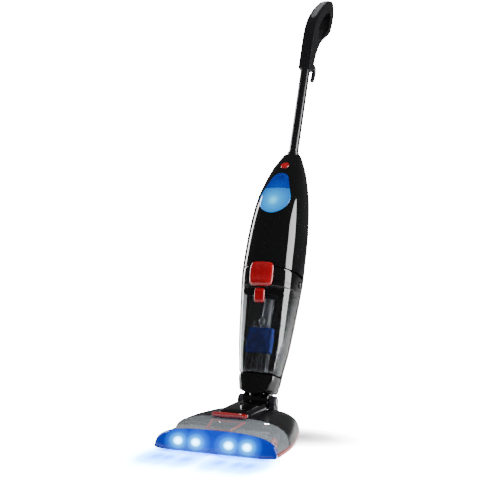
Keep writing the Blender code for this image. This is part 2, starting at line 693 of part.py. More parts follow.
def make_spine(body):
    """Inner frame: wall behind the tank, floor below it, deck under the motor, tube socket."""
    rows = []
    for t in between(0.0515, 0.5800, 15):
        half = smooth_value(BODY, t, 3) - 0.0066
        thick = 0.0020
        rows.append([(half, BAY_WALL, t), (half, BAY_WALL + thick, t),
                     (-half, BAY_WALL + thick, t), (-half, BAY_WALL, t)])
    spine = loft("spine_frame", rows, caps=True)

    def shelf(name, t, thick, back):
        ring = [(x, y) for x, y, _ in front_arc(t, 0.0044)]
        ring += [(-ring[0][0], back), (ring[0][0], back)]
        made = plate(name, [ring], thick)
        made.location = (0, 0, t)
        combine(spine, as_cutter(made, body), "UNION")

    shelf("bay_floor", 0.0530, 0.0030, BAY_WALL + 0.001)
    shelf("motor_deck", 0.3230, 0.0030, BAY_WALL + 0.001)
    collar = cylinder("tube_collar", 0.0148, (0, 0, 0.5700), (0, 0, 0.6300), 24)
    combine(spine, as_cutter(collar, body), "UNION")
    combine(spine, as_cutter(cylinder("tube_bore", TUBE_R + GAP, (0, 0, 0.5850), (0, 0, 0.64)), body))
    inlet = cylinder("inlet", 0.0125, (0, RISER_BACK, 0.045), (0, RISER_BACK, 0.065), 16)
    combine(spine, as_cutter(inlet, body))
    exhaust = cylinder("air_port", 0.0200, (0, -0.045, 0.315), (0, -0.045, 0.332), 20)
    combine(spine, as_cutter(exhaust, body))
    keep(spine, "spine_frame", "dark_grey", body)


def button_axis():
    """Outward direction of the power button, square to the sloping shoulder."""
    slope = (smooth_value(BODY, BUTTON_T + 0.006, 1) - smooth_value(BODY, BUTTON_T - 0.006, 1)) / 0.012
    return Vector((0, -1, -slope)).normalized()


def make_front_cover(body):
    """Front cover of the upper body with the openings for the window and the button."""
    arcs = [front_arc(t, ahead=SEAM) for t in between(COVER_BOTTOM, BODY_TOP, 13)]
    cover = shell(loft("front_cover", arcs, closed_rings=False))
    window = plate("window_hole", [drop_outline(0.0005)], 0.1200)
    window.location = (0, -0.0800, 0)
    window.rotation_euler = (math.radians(90), 0, 0)
    combine(cover, as_cutter(window, body))
    place = Vector((0, -smooth_value(BODY, BUTTON_T, 1), BUTTON_T))
    hole = cylinder("button_hole", BUTTON_R + 0.0005, place - button_axis() * 0.012,
                    place + button_axis() * 0.012, 24)
    combine(cover, as_cutter(hole, body))
    keep(cover, "front_cover", "gloss_black", body)


def make_window(body):
    """Lens of the clean-water window and the filler cap above it, both on the cover's surface."""
    for name, low, high, finish in (("tank_window", 0.40, WINDOW_SPLIT - 0.0002, "window_blue"),
                                    ("filler_cap", WINDOW_SPLIT + 0.0004, 0.62, "lens_blue")):
        arcs = [front_arc(t, inset=-0.0012, ahead=GAP) for t in between(0.442, 0.584, 10)]
        piece = shell(loft(name, arcs, closed_rings=False), 0.0032)
        drop = plate(name + "_drop", [drop_outline()], 0.1200)
        drop.location = (0, -0.0800, 0)
        drop.rotation_euler = (math.radians(90), 0, 0)
        combine(piece, as_cutter(drop, body), "INTERSECT")
        band = box(name + "_band", (-0.10, -0.15, low), (0.10, 0.05, high))
        combine(piece, as_cutter(band, body), "INTERSECT")
        keep(piece, name, finish, body)


def cup(name, stations, wall, floor, ring):
    """An open-topped vessel from ring(height, inset): outer wall up, inner wall down."""
    rows = [ring(t, 0.0) for t in stations]
    rows += [ring(t, wall) for t in reversed(stations) if t > stations[0] + floor]
    rows.append(ring(stations[0] + floor, wall))
    return loft(name, rows, caps=True)


def make_clean_tank(body):
    """Clean-water tank in the upper body, behind the window."""
    def ring(t, inset):
        return front_arc(t, 0.0088 + inset, 15, 0.0060 + inset)

    tank = cup("clean_water_tank", between(0.4360, 0.5050, 5), 0.0018, 0.0018, ring)
    keep(tank, "clean_water_tank", "clear", body)


def make_body_insides(body):
    """Suction motor, fan, pump, board, switch, hoses and the parts at the tube's foot."""
    motor = [(0.0, 0.4105), (0.0220, 0.4105), (0.0300, 0.4035), (0.0300, 0.3535), (0.0, 0.3535)]
    keep(turned("motor", motor, (0, -0.0420, 0)), "suction_motor", "steel", body)
    fan = ring_profile(0.0400, 0.0305, 0.3255, 0.3525)
    keep(turned("fan", fan, (0, -0.0420, 0), ring=True), "fan_housing", "mid_grey", body)
    pump = rounded(box("pump", (-0.0250, -0.0300, 0.4130), (0.0250, -0.0080, 0.4310)), 0.002)
    keep(pump, "water_pump", "dark_grey", body)
    keep(box("board", (-0.0300, 0.0070, 0.3700), (0.0250, 0.0086, 0.4300)),
         "control_board", "board_green", body)
    hose = [(0.0300, 0.0090, 0.4500), (0.0320, 0.0120, 0.4000), (0.0320, 0.0200, 0.3000),
            (0.0320, 0.0240, 0.2000), (0.0300, 0.0200, 0.1000), (0.0280, 0.0160, 0.0400)]
    keep(rod("hose", hose, 0.0035), "water_hose", "clear", body)
    ferrule = ring_profile(0.0158, TUBE_R + GAP, 0.6385, 0.6480)
    keep(turned("ferrule", ferrule, ring=True), "tube_ferrule", "satin_black", body)
    tube = ring_profile(TUBE_R, TUBE_R - 0.0012, 0.5853, TUBE_TOP)
    keep(turned("tube", tube, ring=True, steps=28), "handle_tube", "satin_black", body)
    gland = [(0.0, 0.0170), (0.0045, 0.0170), (0.0065, 0.0030), (0.0095, 0.0030), (0.0095, 0.0), (0.0, 0.0)]
    back = smooth_value(BODY, 0.5450, 2) + GAP * 2
    gland = turned("gland", gland, (0, back, 0.5450), Vector((0, 1, -0.0)), steps=20)
    keep(gland, "cord_gland", "rubber", body)
    hook = [(0, 0.0238, 0.4560), (0, 0.0420, 0.4550), (0, 0.0540, 0.4640), (0, 0.0560, 0.4800),
            (0, 0.0550, 0.4960)]
    keep(rod("lower_hook", hook, 0.0055), "lower_cord_hook", "satin_black", body)


def make_power_button(body):
    """Round button on the shoulder, and its switch."""
    axis = button_axis()
    place = Vector((0, -smooth_value(BODY, BUTTON_T, 1), BUTTON_T))
    profile = [(0.0, 0.0022), (0.0080, 0.0016), (BUTTON_R, -0.0004), (BUTTON_R, -0.0050), (0.0, -0.0050)]
    button = turned("power_button", profile, place, axis, steps=24)
    keep(button, "power_button", "red", body)


def front_plate(body, name, width, thick, low, high, clearance):
    """A red rounded plate lying on the front of the body between two heights."""
    fronts = [-smooth_value(BODY, t, 1) for t in (low, high)]
    tilt = math.atan2(fronts[0] - fronts[1], high - low)
    half = (high - low) / 2
    made = box(name, (-width / 2, -thick, -half), (width / 2, 0.0, half))
    made.location = (0, sum(fronts) / 2 - thick / 2 - clearance, (low + high) / 2)
    made.rotation_euler = (tilt, 0, 0)
    keep(rounded(made, 0.0030), name, "red", body)


# Dirty-water tank -----------------------------------------------------------
def make_tank(body):
    """Clear tank with its lid, seal, riser, filter, float, latch and side grips."""
    stations = [TANK_BOTTOM] + [TANK_BOTTOM + s for s in (0.0012, 0.0045, 0.0100)]
    stations += between(0.0950, TANK_TOP, 7)

    def tuck(t):
        drop = max(0.0, 0.0100 - (t - TANK_BOTTOM)) / 0.0100
        return 0.0060 * drop ** 2.2

    def ring(t, inset):
        return front_arc(t, inset + tuck(t), 17, SEAM + inset)

    tank = cup("tank_shell", stations, 0.0022, 0.0022, ring)
    port = cylinder("tank_port", 0.0105, (0, RISER_BACK, 0.050), (0, RISER_BACK, 0.065), 16)
    combine(tank, as_cutter(port, body))
    keep(tank, "tank_shell", "clear", body)

    def lid_ring(t, inset, slope=0.0):
        return [(x, y, z - slope * (1 + y / 0.095) if slope else z)
                for x, y, z in front_arc(t, inset, 17, SEAM + inset)]

    rings = [lid_ring(LID_TOP - 0.0080, WALL), lid_ring(TANK_TOP + 0.0006, WALL)]
    rings += [lid_ring(t, 0.0) for t in (TANK_TOP + 0.0006, 0.2810, 0.2990)]
    rings += [lid_ring(LID_TOP - 0.0012, 0.0, 0.0045), lid_ring(LID_TOP, 0.0012, 0.0045)]
    lid = loft("tank_lid", rings, caps=True)
    keep(lid, "tank_lid", "gloss_black", body)

    seal_out = [front_arc(t, 0.0026, 17, 0.0036) for t in (TANK_TOP - 0.0055, TANK_TOP - 0.0002)]
    seal_in = [front_arc(t, 0.0055, 17, 0.0065) for t in (TANK_TOP - 0.0002, TANK_TOP - 0.0055)]
    keep(loft("lid_seal", seal_out + seal_in, around=True), "lid_seal", "rubber", body)

    riser = ring_profile(0.0125, 0.0110, 0.0600, 0.2480)
    keep(turned("riser", riser, (0, RISER_BACK, 0), ring=True, steps=16), "intake_riser", "mid_grey", body)
    block = rounded(box("filter", (-0.0310, -0.0495, 0.1080), (0.0310, -0.0305, 0.1700)), 0.0025)
    keep(block, "tank_filter", "filter_blue", body)
    floater = turned("float", [(0.0, 0.1950), (0.0090, 0.1920), (0.0090, 0.1790), (0.0, 0.1756)],
                     (0, -0.0420, 0), steps=16)
    keep(floater, "float_ball", "mid_grey", body)

    front_plate(body, "tank_latch", 0.0610, 0.0085, 0.2630, 0.3220, 0.0026)
    front_plate(body, "tank_pull_tab", 0.0270, 0.0070, 0.2235, 0.2580, 0.0010)
    for side, label in ((-1, "left"), (1, "right")):
        half = smooth_value(BODY, 0.2900, 3)
        grip = turned("grip", [(0.0, 0.0050), (0.0080, 0.0035), (0.0100, 0.0), (0.0, 0.0)],
                      (side * (half + 0.0004), -0.0120, 0.2900), CROSS * side, steps=20)
        keep(grip, "side_grip_" + label, "satin_black", body)


# Handle ---------------------------------------------------------------------
def make_handle(body):
    """Two moulded halves with the finger opening."""
    outer = [(p.x, p.y) for p in smooth_line([(x, y, 0) for x, y in HANDLE_OUT], 2)]
    hole = [(p.x, p.y) for p in smooth_line([(x, y, 0) for x, y in HANDLE_HOLE], 2, closed=True)]
    side_view = (math.radians(90), 0, math.radians(90))
    for side, label in ((-1, "left"), (1, "right")):
        half = plate("handle_half", [outer, hole], HANDLE_HALF - GAP / 2)
        half.location = (side * (HANDLE_HALF + GAP / 2) / 2, 0, 0)
        half.rotation_euler = side_view
        rounded(half, 0.0060, 2)
        pocket = plate("pocket", [grown(outer, -WALL), grown(hole, WALL)], (HANDLE_HALF - WALL) * 2)
        pocket.rotation_euler = side_view
        combine(half, as_cutter(pocket, body), solver="MANIFOLD")
        socket = cylinder("sleeve_bore", TUBE_R + GAP, (0, 0, 0.88), (0, 0, TUBE_TOP + 0.001), 28)
        combine(half, as_cutter(socket, body), solver="MANIFOLD")
        slot = box("stem_slot", [c - STEM_PLAY for c in STEM_LOW], [c + STEM_PLAY for c in STEM_HIGH])
        combine(half, as_cutter(slot, body), solver="MANIFOLD")
        keep(half, "handle_" + label, "satin_black", body)


def make_handle_fittings(body):
    """Soft pad on the outer side of the grip, spray trigger inside it, turning cord hook."""
    outer = [(p.x, p.y) for p in smooth_line([(x, y, 0) for x, y in HANDLE_OUT], 2)]
    top = outer[PAD_SPAN[0]:PAD_SPAN[1]]
    low = [(p[0], p[1]) for p in offset_open(top, GAP)]
    rows = [[(x, y, z) for y, z in low] for x in (0.0080, -0.0080)]
    pad = loft("pad", rows, closed_rings=False)
    pad.modifiers.new("wall", "SOLIDIFY").thickness = 0.0016
    pad.modifiers["wall"].offset = 1.0
    keep(pad, "grip_pad", "mid_grey", body)
    trigger = rounded(box("trigger", (-0.0070, 0.0221, 0.9960), (0.0070, 0.0267, 1.0215)), 0.0018)
    combine(trigger, as_cutter(box("stem", STEM_LOW, STEM_HIGH), body), "UNION")
    keep(trigger, "spray_trigger", "satin_black", body)
    hook = [(0, 0.0185, HOOK_T), (0, 0.0260, HOOK_T + 0.0015), (0, 0.0380, HOOK_T + 0.0120),
            (0, 0.0500, HOOK_T + 0.0205), (0, 0.0605, HOOK_T + 0.0150), (0, 0.0615, HOOK_T - 0.0010),
            (0, 0.0555, HOOK_T - 0.0220)]
    keep(rod("cord_hook", hook, 0.0058), "cord_hook", "satin_black", body)


def offset_open(line, distance):
    """Move an open line sideways, to the left of its direction for a positive distance."""
    out = []
    for i, point in enumerate(line):
        before, after = line[max(i - 1, 0)], line[min(i + 1, len(line) - 1)]
        along = Vector((after[0] - before[0], after[1] - before[1])).normalized()
        out.append((point[0] - along.y * distance, point[1] + along.x * distance))
    return out


def main():
    global parts, cutters
    clear_scene()
    parts = collection("floor_washer")
    cutters = collection("cutters")
    root = bpy.data.objects.new("floor_line", None)
    head = bpy.data.objects.new("head_place", None)
    neck = bpy.data.objects.new("neck_place", None)
    body = bpy.data.objects.new("body_place", None)
    for empty, parent in ((root, None), (head, root), (neck, root), (body, root)):
        empty.parent = parent
        parts.objects.link(empty)
    head.location = (0, HEAD_FRONT_Y, 0)
    for empty in (neck, body):
        empty.location = (0, HEAD_FRONT_Y + PIVOT_Y, PIVOT_Z)
        empty.rotation_euler = (-LEAN, 0, 0)
    make_front_lens(head)
    make_lamps(head)
    make_window_cover(head)
    make_window_latch(head)
    make_suction_frame(head)
    make_roller_hood(head)
    make_roller(head)
    make_drive(head)
    make_chassis(head)
    make_head_cover(head)
    make_cowl(head)
    make_skirt(head)
    make_head_small_parts(head)
    make_neck(neck)
    make_shells(body)
    make_spine(body)
    make_front_cover(body)
    make_window(body)
    make_clean_tank(body)
    make_body_insides(body)
    make_power_button(body)
    make_tank(body)
    make_handle(body)
    make_handle_fittings(body)


main()
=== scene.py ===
"""Finished look of an upright wet and dry floor washer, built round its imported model.

Every new piece is a surface worked out with numpy in the washer's own sections: the
body's plan sections are superellipses that change with height, and the floor head's
are arches that change from front to back.  All lengths are metres.
"""
import json
import math

import bmesh
import bpy
import numpy as np
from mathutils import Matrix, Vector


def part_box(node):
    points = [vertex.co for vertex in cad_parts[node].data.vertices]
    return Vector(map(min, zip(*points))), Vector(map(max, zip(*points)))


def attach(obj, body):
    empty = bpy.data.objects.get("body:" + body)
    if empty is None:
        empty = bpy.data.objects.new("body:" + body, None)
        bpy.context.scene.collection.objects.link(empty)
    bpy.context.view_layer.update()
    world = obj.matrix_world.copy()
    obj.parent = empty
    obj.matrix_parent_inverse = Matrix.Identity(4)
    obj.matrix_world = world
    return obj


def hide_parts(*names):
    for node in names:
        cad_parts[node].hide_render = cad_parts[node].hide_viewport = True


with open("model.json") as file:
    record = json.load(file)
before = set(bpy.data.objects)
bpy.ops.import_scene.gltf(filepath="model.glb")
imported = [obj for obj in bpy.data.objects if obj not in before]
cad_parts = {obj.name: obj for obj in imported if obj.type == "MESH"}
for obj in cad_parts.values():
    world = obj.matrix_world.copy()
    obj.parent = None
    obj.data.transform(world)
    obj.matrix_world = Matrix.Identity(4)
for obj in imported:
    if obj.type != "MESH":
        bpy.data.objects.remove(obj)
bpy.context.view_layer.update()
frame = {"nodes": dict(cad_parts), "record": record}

bl_info = {
    "name": "Floor Washer",
    "version": (1, 0, 0),
    "blender": (4, 5, 0),
    "location": "View3D > Sidebar > Washer",
    "description": "Adds the finished pieces of an upright wet and dry floor washer",
    "category": "Object",
}

# Frames of the three leaning and standing groups ----------------------------
HEAD_FRONT_Y = float(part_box("front_lens")[0][1])   # front edge of the floor head
PIVOT = np.array([0.0, HEAD_FRONT_Y + 0.265, 0.075])
LEAN = math.radians(21.5)
GAP = 0.0003                     # between pieces that touch
SEAM = 0.0010                    # from the mid plane to the back edges of the front covers
WALL = 0.0024                    # moulded shells
FRONT_POWER = 2.9                # squareness of the front half of the body's sections
REAR_POWER = 2.3
ARCH_POWER = 3.2                 # squareness of the head's arches
RIM_Z = 0.0125

# height up the body, depth to its front, depth to its back, half width
BODY = np.array([
    (0.020, 0.0415, 0.0330, 0.0465), (0.042, 0.0461, 0.0363, 0.0505),
    (0.071, 0.0513, 0.0398, 0.0535), (0.126, 0.0613, 0.0427, 0.0610),
    (0.210, 0.0770, 0.0439, 0.0675), (0.295, 0.0925, 0.0391, 0.0730),
    (0.342, 0.0952, 0.0337, 0.0730), (0.418, 0.0928, 0.0249, 0.0710),
    (0.492, 0.0849, 0.0204, 0.0640), (0.539, 0.0692, 0.0192, 0.0555),
    (0.590, 0.0465, 0.0186, 0.0420), (0.613, 0.0330, 0.0181, 0.0330),
    (0.637, 0.0185, 0.0180, 0.0225)])
# distance behind the head's front edge, half width; the same, crown height
HEAD_PLAN = np.array([
    (0.0, 0.1490), (0.060, 0.1485), (0.112, 0.1450), (0.170, 0.1340),
    (0.249, 0.1120), (0.270, 0.1050), (0.284, 0.0900), (0.2935, 0.0600)])
HEAD_CROWN = np.array([
    (0.0, 0.046), (0.022, 0.0530), (0.060, 0.0605), (0.104, 0.0665),
    (0.170, 0.0670), (0.240, 0.0620), (0.270, 0.0530), (0.2935, 0.0300)])
BODY_BOTTOM, BODY_TOP = 0.0205, 0.6370
TANK_BOTTOM, TANK_TOP, LID_TOP = 0.0570, 0.2660, 0.3120
COVER_BOTTOM = 0.3135
CHIN_DROP = 0.0125               # how far the lower cover dips at its front
RISER_BACK = -0.0170
TUBE_R, TUBE_TOP = 0.0125, 0.9250
WINDOW_LOW, WINDOW_HIGH = (0.4925, 0.0405), (0.5475, 0.0225)
WINDOW_SPLIT = 0.5230
BUTTON_T, BUTTON_R = 0.5950, 0.0110
ROLLER_Y, ROLLER_Z, ROLLER_R = 0.060, 0.0220, 0.0212
WHEEL_Y, WHEEL_R, WHEEL_X = 0.2665, 0.0220, 0.0660
LAMP_X = (-0.084, -0.040, 0.040, 0.084)
HANDLE_HALF = 0.0150
HANDLE_OUT = [(-0.0145, 0.8850), (-0.0150, 0.9180), (-0.0152, 0.9560), (-0.0135, 0.9930),
              (-0.0060, 1.0260), (0.0110, 1.0590), (0.0340, 1.0900), (0.0600, 1.1180),
              (0.0820, 1.1370), (0.1000, 1.1330), (0.1110, 1.1080), (0.1100, 1.0770),
              (0.1000, 1.0470), (0.0720, 1.0180), (0.0430, 0.9860), (0.0240, 0.9420),
              (0.0145, 0.8850)]
HANDLE_HOLE = [(0.0175, 0.9985), (0.0185, 1.0250), (0.0330, 1.0510), (0.0540, 1.0800),
               (0.0740, 1.1040), (0.0870, 1.1050), (0.0915, 1.0830), (0.0870, 1.0540),
               (0.0680, 1.0270), (0.0430, 1.0010), (0.0250, 0.9905)]

LENS_MM, SENSOR_MM = 79.05, 36.0
CAMERA_PLACE = (1.01754, -2.16336, 0.6052)      # from the point below the head's front edge
CAMERA_BACK = np.array([0.39237, -0.91767, 0.06262])
WHITE_LEVEL = 20.0               # how bright the studio's white looks to the camera
ROOM_LEVEL = 0.10                # and how much of it lights the washer
FLOOR_GAIN = 16.0                # lifts the lit floor near the washer to the same white


def linear(code):
    """Linear colour from an sRGB hex value."""
    channels = [int(code[i:i + 2], 16) / 255 for i in (1, 3, 5)]
    return tuple(c / 12.92 if c <= 0.04045 else ((c + 0.055) / 1.055) ** 2.4 for c in channels)


def colour_property(name, description, code):
    return bpy.props.FloatVectorProperty(
        name=name, description=description, default=linear(code), size=3,
        subtype="COLOR", min=0.0, max=1.0)


def length_property(name, description, default):
    return bpy.props.FloatProperty(
        name=name, description=description, default=default, min=0.0,
        unit="LENGTH", subtype="DISTANCE", precision=4)


class WasherSizes(bpy.types.PropertyGroup):
    """Small sizes of the finish that a user may change."""
    edge_round: length_property("Edge round", "Radius of the moulded edges", 0.0006)
    tuft_pitch: length_property("Tuft pitch", "Distance between the roller's tuft rows", 0.0085)
    tuft_depth: length_property("Tuft depth", "Depth between the roller's tuft rows", 0.0009)
    pleat_pitch: length_property("Pleat pitch", "Distance between the filter's pleats", 0.0040)
    pleat_depth: length_property("Pleat depth", "Depth of the filter's pleats", 0.0018)
    rib_pitch: length_property("Rib pitch", "Distance between the hood's ribs", 0.0110)


class WasherColours(bpy.types.PropertyGroup):
    """Colours of the washer's materials."""
    gloss: colour_property("Gloss black", "Polished front covers and lid", "#060607")
    satin: colour_property("Satin black", "Rear shell, head cover and handle", "#0D0D0F")
    dark: colour_property("Dark grey", "Inner frames", "#242529")
    grey: colour_property("Grey", "Risers, hood and grip", "#54565A")
    red: colour_property("Red", "Latches, frame, skirt and button", "#980812")
    lens: colour_property("Lens blue", "Lit front lens", "#0A3CFF")
    window: colour_property("Window blue", "Lit clean-water window", "#3FB4FF")
    cap: colour_property("Cap blue", "Filler cap above the window", "#0A2A86")
    clear: colour_property("Clear", "Dirty-water tank", "#EEF2F4")
    smoke: colour_property("Smoke", "Cover over the roller", "#C9D2D8")
    pile: colour_property("Pile", "Roller's short pile", "#3D4A66")
    foam: colour_property("Foam", "Filter in the tank", "#14307E")
    rubber: colour_property("Rubber", "Tyres, wiper lip and belt", "#141414")
    steel: colour_property("Steel", "Motor can, axle and pins", "#C8C8CC")
    board: colour_property("Board", "Circuit boards", "#1E5A34")
    floor: colour_property("Floor", "Studio floor", "#F4F4F4")


# Tables and curves ----------------------------------------------------------
def station(table, at, column=1):
    """Cubic curve through a table's rows, each slope taken from the two neighbours."""
    xs, ys = table[:, 0], table[:, column]
    slopes = np.empty_like(ys)
    slopes[1:-1] = (ys[2:] - ys[:-2]) / (xs[2:] - xs[:-2])
    slopes[0] = (ys[1] - ys[0]) / (xs[1] - xs[0])
    slopes[-1] = (ys[-1] - ys[-2]) / (xs[-1] - xs[-2])
    at = np.clip(np.asarray(at, float), xs[0], xs[-1])
    i = np.clip(np.searchsorted(xs, at, side="right") - 1, 0, len(xs) - 2)
    span = xs[i + 1] - xs[i]
    s = (at - xs[i]) / span
    return ((2 * s ** 3 - 3 * s ** 2 + 1) * ys[i] + (s ** 3 - 2 * s ** 2 + s) * span * slopes[i]
            + (3 * s ** 2 - 2 * s ** 3) * ys[i + 1] + (s ** 3 - s ** 2) * span * slopes[i + 1])


def signed_power(value, exponent):
    """|value| raised to an exponent, with value's own sign."""
    return np.sign(value) * np.abs(value) ** exponent


def catmull(points, steps, closed=False):
    """Cubic through points with slopes half way between neighbours, steps to a span."""
    p = np.asarray(points, float)
    if closed:
        p0, p1, p2, p3 = (np.roll(p, k, axis=0) for k in (1, 0, -1, -2))
    else:
        padded = np.vstack([2 * p[0] - p[1], p, 2 * p[-1] - p[-2]])
        p0, p1, p2, p3 = (padded[k:len(p) - 1 + k] for k in range(4))
    s = (np.arange(steps) / steps)[None, :, None]
    p0, p1, p2, p3 = (q[:, None, :] for q in (p0, p1, p2, p3))
    curve = 0.5 * (2 * p1 + (p2 - p0) * s + (2 * p0 - 5 * p1 + 4 * p2 - p3) * s ** 2
                   + (3 * p1 - p0 - 3 * p2 + p3) * s ** 3)
    curve = curve.reshape(-1, p.shape[1])
    return curve if closed else np.vstack([curve, p[-1]])


def resampled(line, count, closed=True):
    """A line's points spaced evenly along its length."""
    line = np.vstack([line, line[:1]]) if closed else np.asarray(line)
    length = np.concatenate([[0], np.cumsum(np.linalg.norm(np.diff(line, axis=0), axis=1))])
    at = np.linspace(0, length[-1], count, endpoint=not closed)
    return np.stack([np.interp(at, length, line[:, k]) for k in range(line.shape[1])], axis=1)


def in_body(points):
    """From the body's own frame (across, back, up its axis) to the world: lean, then pivot."""
    x, v, t = np.moveaxis(np.asarray(points, float), -1, 0)
    c, s = math.cos(LEAN), math.sin(LEAN)
    return np.stack([x, PIVOT[1] + v * c + t * s, PIVOT[2] + t * c - v * s], axis=-1)


def in_head(points):
    """From the head's own frame (origin below its front edge) to the world."""
    return np.asarray(points, float) + np.array([0, HEAD_FRONT_Y, 0])


def front_section(t, count, inset=0.0, ahead=0.0):
    """Front half of the body's section at each t: x = w cos^(2/p) a, y = -d sin^(2/p) a - ahead."""
    t = np.asarray(t, float)[:, None]
    inset = np.asarray(inset, float)
    inset = inset[:, None] if inset.ndim else inset
    a = np.linspace(math.pi, 0, count)[None, :]
    half = station(BODY, t, 3) - inset
    depth = station(BODY, t, 1) - inset - ahead
    x = signed_power(np.cos(a), 2 / FRONT_POWER) * half
    y = -np.abs(np.sin(a)) ** (2 / FRONT_POWER) * depth - ahead
    return np.stack([x, y, t + 0 * x], axis=-1)


def rear_section(t, count, inset=0.0):
    """Rear half of the body's section at each t: a superellipse turned round the back."""
    t = np.asarray(t, float)[:, None]
    a = np.linspace(0, math.pi, count)[None, :]
    half = station(BODY, t, 3) - inset
    depth = station(BODY, t, 2) - inset
    x = signed_power(np.cos(a), 2 / REAR_POWER) * half
    y = np.abs(np.sin(a)) ** (2 / REAR_POWER) * depth
    return np.stack([x, y, t + 0 * x], axis=-1)


def front_depth(x, t, inset=0.0, ahead=0.0):
    """Y of the body's front surface at (x, t), from the same superellipse."""
    half = station(BODY, t, 3) - inset
    depth = station(BODY, t, 1) - inset - ahead
    inside = np.clip(1 - np.abs(x / half) ** FRONT_POWER, 0, 1)
    return -depth * inside ** (1 / FRONT_POWER) - ahead


def head_arches(y, count, inset=0.0, rim=RIM_Z):
    """Arched section of the head at each y, a superellipse cut off at the rim height."""
    y = np.asarray(y, float)[:, None]
    half = station(HEAD_PLAN, y) - inset
    crown = station(HEAD_CROWN, y) - inset
    start = np.arcsin(np.minimum(1.0, (rim / crown) ** (ARCH_POWER / 2)))
    a = start + np.linspace(0, 1, count)[None, :] * (math.pi - 2 * start)
    x = signed_power(np.cos(a), 2 / ARCH_POWER) * half
    z = np.abs(np.sin(a)) ** (2 / ARCH_POWER) * crown
    return np.stack([x, y + 0 * x, z], axis=-1)


def drop_line(grow=0.0, count=400):
    """The window's drop shape: two circles and the straight tangents between them."""
    (low_t, low_r), (high_t, high_r) = WINDOW_LOW, WINDOW_HIGH
    tilt = math.asin((low_r - high_r) / (high_t - low_t))
    low = np.linspace(math.pi - tilt, 2 * math.pi + tilt, 200)
    high = np.linspace(tilt, math.pi - tilt, 100)
    line = np.vstack([
        np.stack([np.cos(low) * (low_r + grow), low_t + np.sin(low) * (low_r + grow)], 1),
        np.stack([np.cos(high) * (high_r + grow), high_t + np.sin(high) * (high_r + grow)], 1)])
    return resampled(line, count)


# Meshes ---------------------------------------------------------------------
def grid_faces(rows, columns, wrap_rows=False, wrap_columns=False):
    """Quads of a grid of points, joined round in either direction if asked."""
    i = np.arange(rows if wrap_rows else rows - 1)[:, None]
    j = np.arange(columns if wrap_columns else columns - 1)[None, :]
    a = (i * columns + j).ravel()
    b = (i * columns + (j + 1) % columns).ravel()
    c = ((i + 1) % rows * columns + (j + 1) % columns).ravel()
    d = ((i + 1) % rows * columns + j).ravel()
    return np.stack([a, b, c, d], axis=1)


def made(name, points, faces, caps=()):
    """An object from points, quads and extra many-sided faces, merged and facing out."""
    mesh = bpy.data.meshes.new(name)
    points = np.asarray(points, float).reshape(-1, 3)
    mesh.from_pydata(points.tolist(), [], faces.tolist() + [list(c) for c in caps])
    cleaned(mesh)
    obj = bpy.data.objects.new(name, mesh)
    bpy.context.scene.collection.objects.link(obj)
    return obj


def cleaned(mesh):
    """Merge double points, drop empty faces and turn the faces outwards."""
    work = bmesh.new()
    work.from_mesh(mesh)
    bmesh.ops.remove_doubles(work, verts=work.verts, dist=0.000004)
    bmesh.ops.dissolve_degenerate(work, edges=work.edges, dist=0.000001)
    bmesh.ops.recalc_face_normals(work, faces=work.faces)
    work.to_mesh(mesh)
    work.free()
    mesh.validate()


def slab(name, outer, inner):
    """A wall between two grids of equal shape, closed along all four edges."""
    rows, columns = outer.shape[:2]
    ring = np.concatenate([outer, inner[:, ::-1]], axis=1)
    faces = grid_faces(rows, 2 * columns, wrap_columns=True)
    i = np.arange(columns - 1)
    mate = 2 * columns - 1 - i
    first = np.stack([i, mate, mate - 1, i + 1], axis=1)
    last = first[:, ::-1] + (rows - 1) * 2 * columns
    return made(name, ring, np.vstack([faces, first, last]))


def stack(name, rings, wrap=False, caps=True):
    """A closed skin over rings of points: ends capped, or the last ring joined to the first."""
    rows, columns = rings.shape[:2]
    faces = grid_faces(rows, columns, wrap_rows=wrap, wrap_columns=True)
    ends = ()
    if caps and not wrap:
        base = (rows - 1) * columns
        ends = (range(columns - 1, -1, -1), range(base, base + columns))
    return made(name, rings, faces, ends)


def lathe_points(profile, origin, axis, steps):
    """Points of a profile of (radius, height) turned about an axis through an origin."""
    profile = np.asarray(profile, float)
    axis = np.asarray(axis, float) / np.linalg.norm(axis)
    side = np.cross(axis, (0, 0, 1) if abs(axis[2]) < 0.9 else (0, 1, 0))
    side /= np.linalg.norm(side)
    other = np.cross(axis, side)
    a = np.linspace(0, 2 * math.pi, steps, endpoint=False)
    round_it = np.cos(a)[None, :, None] * side + np.sin(a)[None, :, None] * other
    return (np.asarray(origin) + profile[:, 0, None, None] * round_it
            + profile[:, 1, None, None] * axis)


def turned(name, profile, origin, axis, steps=64, ring=False, place=in_body):
    """A turned solid, closed at its poles, or a ring whose profile is closed."""
    points = lathe_points(profile, origin, axis, steps)
    return stack(name, place(points), wrap=ring, caps=False)


